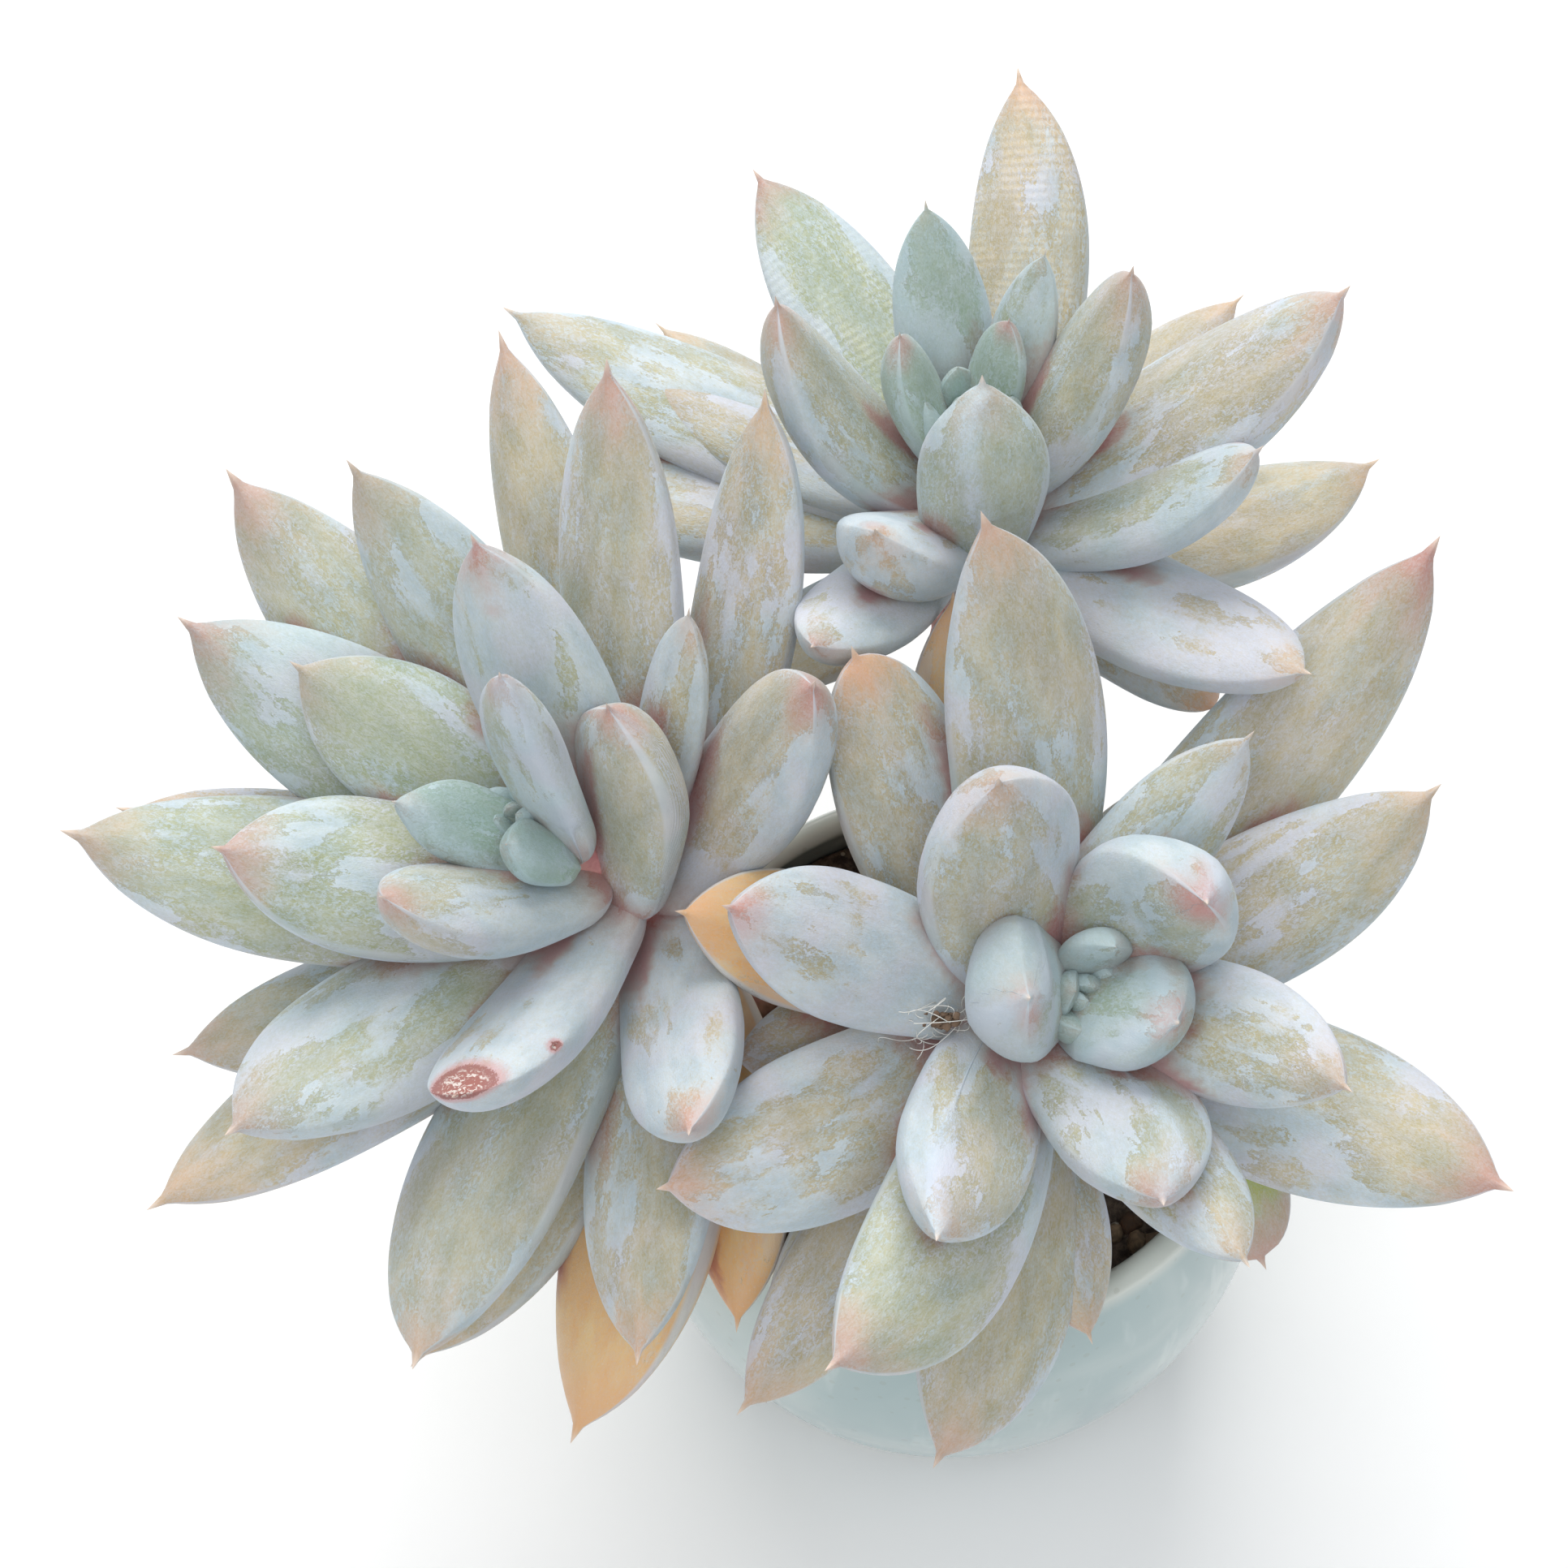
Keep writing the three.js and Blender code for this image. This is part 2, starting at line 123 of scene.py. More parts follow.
# Drain holes: their radius, the circle that they stand on, and the drill that cuts them, from below to above.
DRAIN_RADIUS = 3.0
DRAIN_CIRCLE = 12.0
DRAIN_ANGLES = (0.0, 120.0, 240.0)
DRILL_SPAN = (-2.0, 12.0)
DRILL_SIDES = 40
# The height that the glaze stops at, and the heights over which the lip pales: thinner glaze and painted
# highlight.
GLAZE_LINE = 3.0
PALE_LIP = (53.5, 56.5)


def skins(name, rings, starts, ends, marks, material):
    """One mesh of k closed skins. rings has shape (k, m, n, 3) in mm: quads join ring j to ring j + 1 and
    each point to the next one round, and fans close the first ring on a start point and the last ring on an
    end point. marks are values per ring point, kept as attributes; a start or end point takes the mean of
    its ring."""
    k, m, n, _ = rings.shape
    points = np.concatenate([starts[:, None], rings.reshape(k, m * n, 3), ends[:, None]], axis=1)
    i, j = np.meshgrid(np.arange(m - 1), np.arange(n), indexing="ij")
    here = 1 + i * n + j
    beside = 1 + i * n + (j + 1) % n
    quads = np.stack([here, here + n, beside + n, beside], axis=-1).reshape(-1, 4)
    first, last = 1 + np.arange(n), 1 + (m - 1) * n + np.arange(n)
    fan_in = np.stack([np.zeros(n, int), first, np.roll(first, -1)], axis=-1)
    fan_out = np.stack([np.full(n, m * n + 1), np.roll(last, -1), last], axis=-1)
    shift = (np.arange(k) * (m * n + 2))[:, None, None]
    fours = (quads[None] + shift).reshape(-1, 4)
    threes = (np.concatenate([fan_in, fan_out])[None] + shift).reshape(-1, 3)
    corners = np.concatenate([fours.ravel(), threes.ravel()])
    sizes = np.concatenate([np.full(len(fours), 4), np.full(len(threes), 3)])
    mesh = bpy.data.meshes.new(name)
    mesh.vertices.add(points.shape[0] * points.shape[1])
    mesh.vertices.foreach_set("co", (points * MM).astype(np.float32).ravel())
    mesh.loops.add(len(corners))
    mesh.loops.foreach_set("vertex_index", corners.astype(np.int32))
    mesh.polygons.add(len(sizes))
    mesh.polygons.foreach_set("loop_start", (np.cumsum(sizes) - sizes).astype(np.int32))
    mesh.update(calc_edges=True)
    for mark, values in marks.items():
        wide = values.reshape(k, m * n, -1)
        first_mean = wide[:, :n].mean(axis=1, keepdims=True)
        last_mean = wide[:, -n:].mean(axis=1, keepdims=True)
        flat = np.concatenate([first_mean, wide, last_mean], axis=1).astype(np.float32)
        vector = flat.shape[-1] == 3
        layer = mesh.attributes.new(mark, "FLOAT_VECTOR" if vector else "FLOAT", "POINT")
        layer.data.foreach_set("vector" if vector else "value", flat.ravel())
    mesh.shade_smooth()
    mesh.materials.append(material)
    piece = bpy.data.objects.new(name, mesh)
    scene.collection.objects.link(piece)
    return piece


def feed(tree, node, links):
    """Feeds a node's inputs. links maps an input's name or number to a value or to another node's output."""
    for key, value in links.items():
        if isinstance(value, bpy.types.NodeSocket):
            tree.links.new(value, node.inputs[key])
        else:
            node.inputs[key].default_value = value


def add_node(tree, kind, links, **settings):
    """One shader node with its settings and its inputs."""
    node = tree.nodes.new(kind)
    for key, value in settings.items():
        setattr(node, key, value)
    feed(tree, node, links)
    return node


def calc(tree, operation, a, b=0.0, c=0.0):
    """A Math node's result: the operation on a, b and c."""
    return add_node(tree, "ShaderNodeMath", {0: a, 1: b, 2: c}, operation=operation).outputs[0]


def ramp(tree, value, low, high, start=0.0, end=1.0):
    """A smooth step from start, where value is at low, to end, where it is at high."""
    links = {"Value": value, "From Min": low, "From Max": high, "To Min": start, "To Max": end}
    return add_node(tree, "ShaderNodeMapRange", links, interpolation_type="SMOOTHSTEP").outputs["Result"]


def noise(tree, vector, scale, detail=3.0, rough=0.55, warp=0.0):
    """Soft noise about 0.5, with scale waves in each metre or mm, whichever the vector is measured in."""
    links = {"Vector": vector, "Scale": scale, "Detail": detail, "Roughness": rough, "Distortion": warp}
    return add_node(tree, "ShaderNodeTexNoise", links).outputs["Fac"]


def stretched(tree, vector, share):
    """The vector with its Z times share, so that a pattern on it is longer along Z."""
    links = {0: vector, 1: (1.0, 1.0, share)}
    return add_node(tree, "ShaderNodeVectorMath", links, operation="MULTIPLY").outputs[0]


def blended(tree, share, first, second):
    """The first colour where share is 0 and the second where it is 1."""
    return add_node(tree, "ShaderNodeMix", {0: share, 6: first, 7: second}, data_type="RGBA").outputs[2]


def srgb(red, green, blue):
    """A colour given as 0-255 display values, as the linear colour that a shader takes."""
    share = np.array([red, green, blue]) / 255.0
    linear = np.where(share <= 0.04045, share / 12.92, ((share + 0.055) / 1.055) ** 2.4)
    return (*linear.tolist(), 1.0)


def new_group(name, inputs, outputs):
    """An empty shader node group. inputs maps names to (kind, default) and outputs maps names to kinds."""
    tree = bpy.data.node_groups.new(name, "ShaderNodeTree")
    kinds = {"value": "NodeSocketFloat", "colour": "NodeSocketColor", "vector": "NodeSocketVector"}
    for label, (kind, default) in inputs.items():
        tree.interface.new_socket(label, in_out="INPUT", socket_type=kinds[kind]).default_value = default
    for label, kind in outputs.items():
        tree.interface.new_socket(label, in_out="OUTPUT", socket_type=kinds[kind])
    return tree, tree.nodes.new("NodeGroupInput").outputs, tree.nodes.new("NodeGroupOutput").inputs


def use_group(tree, group, links):
    """The outputs of a new node that holds the group, with its inputs fed."""
    node = tree.nodes.new("ShaderNodeGroup")
    node.node_tree = group
    feed(tree, node, links)
    return node.outputs


def new_material(name):
    """A material with its node tree and its Principled BSDF."""
    material = bpy.data.materials.new(name)
    material.use_nodes = True
    return material, material.node_tree, material.node_tree.nodes["Principled BSDF"]


def own_place(tree):
    """The point's place on its own object, in metres."""
    return add_node(tree, "ShaderNodeTexCoord", {}).outputs["Object"]


def make_uneven(tree, shader, height, strength, depth):
    """Tilts the shader's surface by a height pattern, of the given strength and depth in mm."""
    links = {"Strength": strength, "Distance": depth * MM, "Height": height}
    tree.links.new(add_node(tree, "ShaderNodeBump", links).outputs[0], shader.inputs["Normal"])


# Dust: round specks, one in each cell whose random colour is bright enough, and larger the brighter it is.
dust, dust_in, dust_out = new_group(
    "dust",
    {"Vector": ("vector", (0.0, 0.0, 0.0)), "Per unit": ("value", 1.2), "Amount": ("value", 0.5)},
    {"Specks": "value"},
)
cell = add_node(dust, "ShaderNodeTexVoronoi", {"Vector": dust_in["Vector"], "Scale": dust_in["Per unit"]})
lucky = add_node(dust, "ShaderNodeSeparateColor", {"Color": cell.outputs["Color"]}).outputs[0]
reach = ramp(dust, lucky, 0.55, 1.0, 0.0, 0.34)
speck = ramp(dust, calc(dust, "SUBTRACT", reach, cell.outputs["Distance"]), 0.0, 0.08)
dust.links.new(calc(dust, "MULTIPLY", speck, dust_in["Amount"]), dust_out["Specks"])


def pot_radius(z):
    """Outer radius at height z: belly radius times the root of 1 - ((z - belly height) / half rise)^2."""
    return BELLY_RADIUS * np.sqrt(1.0 - ((z - BELLY_HEIGHT) / BELLY_HALF_RISE) ** 2)


def pot_rings():
    """The wall's section carried round Z, as (1, m, n, 3): up the outside, half round the lip and down the
    inside. The wall follows pot_radius, and the foot's edge, the lip and the inner corner are arcs."""
    lip = WALL / 2
    lip_height = POT_HEIGHT - lip
    foot = np.array([[pot_radius(0.0) - inset, 0.0] for inset in FOOT_RINGS])
    bevel = np.radians(np.linspace(-70, 0, 6))
    edge = np.stack([pot_radius(FOOT_BEVEL) - FOOT_BEVEL * (1 - np.cos(bevel)),
                     FOOT_BEVEL * (1 + np.sin(bevel))], axis=1)
    outside = np.linspace(FOOT_BEVEL, lip_height, 48)[1:]
    over = np.linspace(0, np.pi, 14)[1:-1]
    middle = pot_radius(lip_height) - lip
    corner_height = FLOOR_THICKNESS + INNER_FILLET
    inside = np.linspace(lip_height, corner_height, 30)
    fillet = np.radians(np.linspace(0, 90, 6))[1:]
    corner = pot_radius(corner_height) - WALL
    profile = np.concatenate([
        foot,
        edge,
        np.stack([pot_radius(outside), outside], axis=1),
        np.stack([middle + lip * np.cos(over), lip_height + lip * np.sin(over)], axis=1),
        np.stack([pot_radius(inside) - WALL, inside], axis=1),
        np.stack([corner - INNER_FILLET * (1 - np.cos(fillet)),
                  FLOOR_THICKNESS + INNER_FILLET * (1 - np.sin(fillet))], axis=1),
    ])
    turn = np.linspace(0, 2 * np.pi, POT_SIDES, endpoint=False)
    radius, z = profile[:, :1], profile[:, 1:]
    return np.stack([radius * np.cos(turn), radius * np.sin(turn), z + 0 * turn], axis=-1)[None]


def cut_holes(piece, holes):
    """Cuts round holes down Z through a piece, each (x, y, radius) in mm, and keeps the result."""
    turn = np.linspace(0, 2 * np.pi, DRILL_SIDES, endpoint=False)
    x, y, radius = (np.array(column)[:, None, None] for column in zip(*holes))
    z = np.array(DRILL_SPAN)[None, :, None]
    drill = np.stack([x + radius * np.cos(turn) + 0 * z, y + radius * np.sin(turn) + 0 * z,
                      z + 0 * x + 0 * turn], axis=-1)
    cutter = skins("drill", drill, drill[:, 0].mean(axis=1), drill[:, -1].mean(axis=1), {},
                   piece.data.materials[0])
    cut = piece.modifiers.new("drill", "BOOLEAN")
    cut.operation = "DIFFERENCE"
    cut.object = cutter
    cut.solver = "EXACT"
    bpy.context.view_layer.update()
    shape = piece.evaluated_get(bpy.context.evaluated_depsgraph_get())
    mesh = bpy.data.meshes.new_from_object(shape)
    piece.modifiers.clear()
    piece.data = mesh
    bpy.data.objects.remove(cutter)


glaze, tree, shader = new_material("celadon_glaze")
place = own_place(tree)
height = add_node(tree, "ShaderNodeSeparateXYZ", {0: place}).outputs[2]
cloud = noise(tree, place, 55.0, 3.0, 0.5, 0.8)
run = noise(tree, stretched(tree, place, 0.22), 260.0, 3.0, 0.5)
colour = blended(tree, ramp(tree, cloud, 0.3, 0.7), srgb(166, 187, 188), srgb(184, 200, 199))
colour = blended(tree, ramp(tree, run, 0.56, 0.72, 0.0, 0.35), colour, srgb(214, 226, 224))
# Paler toward the lip: thinner glaze, and a painted highlight on the lit top.
lip_glaze_and_highlight = ramp(tree, height, PALE_LIP[0] * MM, PALE_LIP[1] * MM)
colour = blended(tree, calc(tree, "MULTIPLY", lip_glaze_and_highlight, 0.7), colour, srgb(222, 224, 214))
wobble = calc(tree, "MULTIPLY_ADD", noise(tree, place, 90.0, 2.0), 1.6 * MM, height)
bare = ramp(tree, wobble, GLAZE_LINE * MM, (GLAZE_LINE - 0.3) * MM)
colour = blended(tree, bare, colour, srgb(206, 196, 180))
pits = use_group(tree, dust, {"Vector": place, "Per unit": 700.0, "Amount": 1.0})["Specks"]
colour = blended(tree, calc(tree, "MULTIPLY", pits, 0.18), colour, srgb(150, 150, 132))
tree.links.new(colour, shader.inputs["Base Color"])
tree.links.new(ramp(tree, bare, 0.0, 1.0, 0.24, 0.8), shader.inputs["Roughness"])
relief = calc(tree, "MULTIPLY_ADD", noise(tree, place, 900.0, 2.0), 0.06, noise(tree, place, 120.0, 2.0))
make_uneven(tree, shader, relief, 0.25, 0.4)
shader.inputs["Coat Weight"].default_value = 0.35
shader.inputs["Coat Roughness"].default_value = 0.12

foot_middle, floor_middle = np.array([[0.0, 0.0, 0.0]]), np.array([[0.0, 0.0, FLOOR_THICKNESS]])
pot = skins("pot_body", pot_rings(), foot_middle, floor_middle, {}, glaze)
cut_holes(pot, [(DRAIN_CIRCLE * math.cos(angle), DRAIN_CIRCLE * math.sin(angle), DRAIN_RADIUS)
                for angle in np.radians(DRAIN_ANGLES)])
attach(pot, "root")
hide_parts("pot")


# Potting mix: dark gritty mix that fills the pot to a low mound, with loose grains of pumice and bark on top.
# It is poured in round the stems, and it shows only in the gaps under the leaves and through the drain holes.
MIX_EDGE_HEIGHT = 48.0
MIX_MOUND = 2.0
MIX_GAP = 0.3
GRAIN_COUNT = 420
GRAIN_SPREAD = 31.0
GRAIN_SEED = 7


def mix_rings():
    """The mix's section carried round Z. On top z is the edge's height + mound (1 - share^2), where share is
    how far out a point lies, plus crumbs made of crossed sines."""
    side = np.linspace(FLOOR_THICKNESS + MIX_GAP, MIX_EDGE_HEIGHT, 20)
    share = np.linspace(0.985, 0.02, 46)
    radius = np.concatenate([[2.0, 12.0], pot_radius(side) - WALL - MIX_GAP,
                             share * (pot_radius(MIX_EDGE_HEIGHT) - WALL - MIX_GAP)])[:, None]
    z = np.concatenate([[FLOOR_THICKNESS + MIX_GAP] * 2, side,
                        MIX_EDGE_HEIGHT + MIX_MOUND * (1 - share ** 2)])[:, None]
    turn = np.linspace(0, 2 * np.pi, 144, endpoint=False)[None]
    x, y = radius * np.cos(turn), radius * np.sin(turn)
    crumbs = np.sin(2.9 * x + 1.3 * np.sin(1.7 * y)) * np.sin(3.3 * y + 1.1 * np.sin(2.1 * x))
    swell = 0.5 * np.sin(0.9 * x) * np.cos(1.1 * y)
    on_top = np.clip((z - MIX_EDGE_HEIGHT - 0.05) / 0.25, 0.0, 1.0)
    return np.stack([x, y, z + on_top * (0.28 * crumbs + swell - 0.25)], axis=-1)[None]


def grains(count, seed):
    """count lumps strewn evenly over the mound. Each is a ball of its own size, stretched along its three
    axes by 0.7 to 1.25, with each point moved in or out by up to 12%, and it sits a third of its size above
    the mix."""
    draw = np.random.default_rng(seed)
    turn = draw.uniform(0, 2 * np.pi, count)
    reach = GRAIN_SPREAD * np.sqrt(draw.uniform(0, 1, count))
    size = draw.uniform(0.55, 1.5, count)
    polar = np.linspace(0, np.pi, 7)[1:-1]
    around = np.linspace(0, 2 * np.pi, 8, endpoint=False)
    ball = np.stack([np.sin(polar)[:, None] * np.cos(around), np.sin(polar)[:, None] * np.sin(around),
                     np.cos(polar)[:, None] + 0 * around], axis=-1)
    stretch = draw.uniform(0.7, 1.25, (count, 1, 1, 3)) * size[:, None, None, None]
    lumps = ball[None] * stretch * (1 + draw.uniform(-0.12, 0.12, (count, 5, 8, 1)))
    poles = np.array([[0.0, 0.0, 1.0], [0.0, 0.0, -1.0]])[None] * stretch[:, 0]
    share = reach / GRAIN_SPREAD
    centre = np.stack([reach * np.cos(turn), reach * np.sin(turn),
                       MIX_EDGE_HEIGHT + MIX_MOUND * (1 - share ** 2) + 0.35 * size], axis=-1)
    tint = np.broadcast_to(draw.uniform(0, 1, (count, 1, 1, 1)), (count, 5, 8, 1))
    return (lumps + centre[:, None, None])[:, ::-1], poles[:, 1] + centre, poles[:, 0] + centre, tint


def mark(tree, label, output="Fac"):
    """What the mesh carries at each point under the label: a value, or with "Vector" three of them."""
    return add_node(tree, "ShaderNodeAttribute", {}, attribute_name=label).outputs[output]


mix_material, tree, shader = new_material("gritty_mix")
place = own_place(tree)
crumb = noise(tree, place, 900.0, 4.0, 0.65)
patch = noise(tree, place, 150.0, 2.0)
colour = blended(tree, ramp(tree, crumb, 0.35, 0.68), srgb(62, 50, 42), srgb(124, 106, 90))
colour = blended(tree, ramp(tree, patch, 0.4, 0.7, 0.0, 0.45), colour, srgb(92, 84, 78))
bits = use_group(tree, dust, {"Vector": place, "Per unit": 650.0, "Amount": 1.0})["Specks"]
colour = blended(tree, bits, colour, srgb(176, 168, 154))
tree.links.new(colour, shader.inputs["Base Color"])
make_uneven(tree, shader, crumb, 0.8, 0.6)
shader.inputs["Roughness"].default_value = 0.95

rings = mix_rings()
mix = skins("mix_body", rings, np.array([[0.0, 0.0, FLOOR_THICKNESS + MIX_GAP]]),
            rings[:, -1].mean(axis=1), {}, mix_material)
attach(mix, "root")
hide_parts("soil")

grain_material, tree, shader = new_material("pumice_and_bark")
place = own_place(tree)
tint = mark(tree, "tint")
colour = blended(tree, ramp(tree, tint, 0.3, 0.42), srgb(92, 68, 50), srgb(150, 126, 100))
colour = blended(tree, ramp(tree, tint, 0.62, 0.74), colour, srgb(186, 180, 168))
pores = noise(tree, place, 1300.0, 3.0, 0.6)
colour = blended(tree, ramp(tree, pores, 0.62, 0.42, 0.0, 0.5), colour, srgb(70, 60, 52))
tree.links.new(colour, shader.inputs["Base Color"])
make_uneven(tree, shader, pores, 0.6, 0.3)
shader.inputs["Roughness"].default_value = 0.9

lumps, low_ends, high_ends, tint_values = grains(GRAIN_COUNT, GRAIN_SEED)
grain_piece = skins("mix_grains", lumps, low_ends, high_ends, {"tint": tint_values}, grain_material)
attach(grain_piece, "root")


# Stems: three short fleshy stems that stand in the mix and bend over to the rosettes. Each is corky and tan
# at the foot, pink near the leaves, and ringed with the scars of leaves that have dropped.
STEM_RADIUS = 4.6
STEM_FOOT_HEIGHT = 36.0
CROWN_BELOW = 10.0
STEM_GAP = 0.3
STEM_RINGS = 90
STEM_SIDES = 48
# Each rosette's axis: where its base is, how far it leans and to which side, and how high its crown rises.
ROSETTE_AXES = {
    "left": {"base": (-34.0, 7.0, 78.5), "lean": 29, "turn": 209, "crown": 24.0},
    "back": {"base": (1.0, 46.5, 94.0), "lean": 4, "turn": 113, "crown": 15.0},
    "right": {"base": (3.0, -5.0, 76.0), "lean": 30, "turn": 303, "crown": 17.0},
}
# Where each stem stands in the mix, how far it rises straight up, and how long its curve's upper handle is.
STEM_FEET = {
    "left": {"foot": (-14.0, 5.0), "rise": 12.0, "handle": 7.0},
    "back": {"foot": (2.0, 14.0), "rise": 16.0, "handle": 10.0},
    "right": {"foot": (3.0, -2.0), "rise": 12.0, "handle": 8.0},
}


def axis_frame(lean, turn):
    """The rosette's own X, Y and Z as rows. Z leans by lean toward turn. X is world X made square to it."""
    lean, turn = math.radians(lean), math.radians(turn)
    up = np.array([math.sin(lean) * math.cos(turn), math.sin(lean) * math.sin(turn), math.cos(lean)])
    forward = np.array([1.0, 0.0, 0.0]) - up[0] * up
    forward = forward / np.linalg.norm(forward)
    return np.stack([forward, np.cross(up, forward), up])


def stem_rings(side):
    """A round section carried along a cubic curve from the foot to the crown. The radius swells and dips by
    sines along and round the stem, which leaves low rings where leaves have dropped."""
    axes, feet = ROSETTE_AXES[side], STEM_FEET[side]
    up = axis_frame(axes["lean"], axes["turn"])[2]
    x, y = feet["foot"]
    top = np.array(axes["base"]) - (CROWN_BELOW + STEM_GAP) * up
    knots = np.array([[x, y, STEM_FOOT_HEIGHT], [x, y, STEM_FOOT_HEIGHT + feet["rise"]],
                      top - feet["handle"] * up, top])
    t = np.linspace(0, 1, STEM_RINGS)[:, None]
    path = ((1 - t) ** 3 * knots[0] + 3 * t * (1 - t) ** 2 * knots[1]
            + 3 * t ** 2 * (1 - t) * knots[2] + t ** 3 * knots[3])
    heading = np.gradient(path, axis=0)
    heading = heading / np.linalg.norm(heading, axis=1, keepdims=True)
    across = np.cross(heading, [0.0, 1.0, 0.0])
    across = across / np.linalg.norm(across, axis=1, keepdims=True)
    beside = np.cross(heading, across)
    turn = np.linspace(0, 2 * np.pi, STEM_SIDES, endpoint=False)[None]
    length = np.concatenate([[0.0], np.cumsum(np.linalg.norm(np.diff(path, axis=0), axis=1))])[:, None]
    scars = np.abs(np.sin(0.62 * length + 0.5 * np.sin(3 * turn + 0.4 * length))) ** 6
    radius = STEM_RADIUS * (0.95 - 0.05 * scars + 0.02 * np.sin(5 * turn + 0.7 * length))
    rings = (path[:, None] + (radius * np.cos(turn))[..., None] * across[:, None]
             + (radius * np.sin(turn))[..., None] * beside[:, None])
    marks = {"stem_up": np.broadcast_to(t[None, :, :, None], (1, STEM_RINGS, STEM_SIDES, 1)),
             "scar": scars[None, ..., None]}
    return rings[None], path[None, 0], path[None, -1], marks


def nudged(tree, value, pattern, amount):
    """The value moved up and down by a pattern about 0.5: value + amount (pattern - 0.5)."""
    return calc(tree, "MULTIPLY_ADD", calc(tree, "SUBTRACT", pattern, 0.5), amount, value)


stem_material, tree, shader = new_material("stem_bark")
place = own_place(tree)
scar_mark = mark(tree, "scar")
fibre = noise(tree, stretched(tree, place, 0.25), 1100.0, 4.0, 0.6)
blotch = noise(tree, place, 240.0, 3.0)
height = nudged(tree, mark(tree, "stem_up"), blotch, 0.5)
colour = blended(tree, ramp(tree, fibre, 0.3, 0.7), srgb(120, 98, 78), srgb(168, 146, 120))
colour = blended(tree, ramp(tree, height, 0.35, 0.85), colour, srgb(206, 150, 146))
colour = blended(tree, calc(tree, "MULTIPLY", scar_mark, 0.55), colour, srgb(108, 78, 66))
motes = use_group(tree, dust, {"Vector": place, "Per unit": 900.0, "Amount": 0.5})["Specks"]
colour = blended(tree, motes, colour, srgb(224, 226, 230))
tree.links.new(colour, shader.inputs["Base Color"])
relief = calc(tree, "MULTIPLY_ADD", scar_mark, -0.5, fibre)
make_uneven(tree, shader, relief, 0.5, 0.4)
shader.inputs["Roughness"].default_value = 0.72

for side in ROSETTE_AXES:
    stem_shape, foot_ends, top_ends, marks = stem_rings(side)
    stem = skins(f"stem_{side}_bark", stem_shape, foot_ends, top_ends, marks, stem_material)
    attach(stem, "root")
    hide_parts(f"stem_{side}")


# Leaves: fat pointed leaves set round a short crown, wider than thick, flatter above and keeled below.
# Living tissue of sage to orange under a white-blue wax bloom, which is rubbed off in patches and on the
# tips. Every leaf grows from the crown, and the heart is a tight bud of new leaves set by the golden angle.

# Shares of a leaf's length: where it is widest, where its body closes, and how far its root is drawn in.
PEAK = 0.54
BODY_END = 0.965
ROOT_ROUND = 0.14
# The root's width and thickness as shares of the widest, a leaf's thickness as a share of its width and the
# most that it may be anywhere, and how much of the half thickness lies above and below the middle line.
ROOT_WIDTH = 0.56
ROOT_THICKNESS = 0.8
THICKNESS = 0.56
THICKEST = 1.1
UPPER_SHARE = 0.72
LOWER_SHARE = 1.25
# The nib of a leaf 16 mm wide. It is thinner on a narrower leaf, and shorter on a short one.
COMMON_WIDTH = 16.0
NIB_LENGTH = 5.0
NIB_RADIUS = 1.4
LEAF_RINGS = 60
LEAF_SIDES = 40
LEAF_SEED = 11
SPINE_STEPS = 240
HEART_LEAVES = 6
GOLDEN_ANGLE = 137.5
CROWN_TIP_RADIUS = 2.5

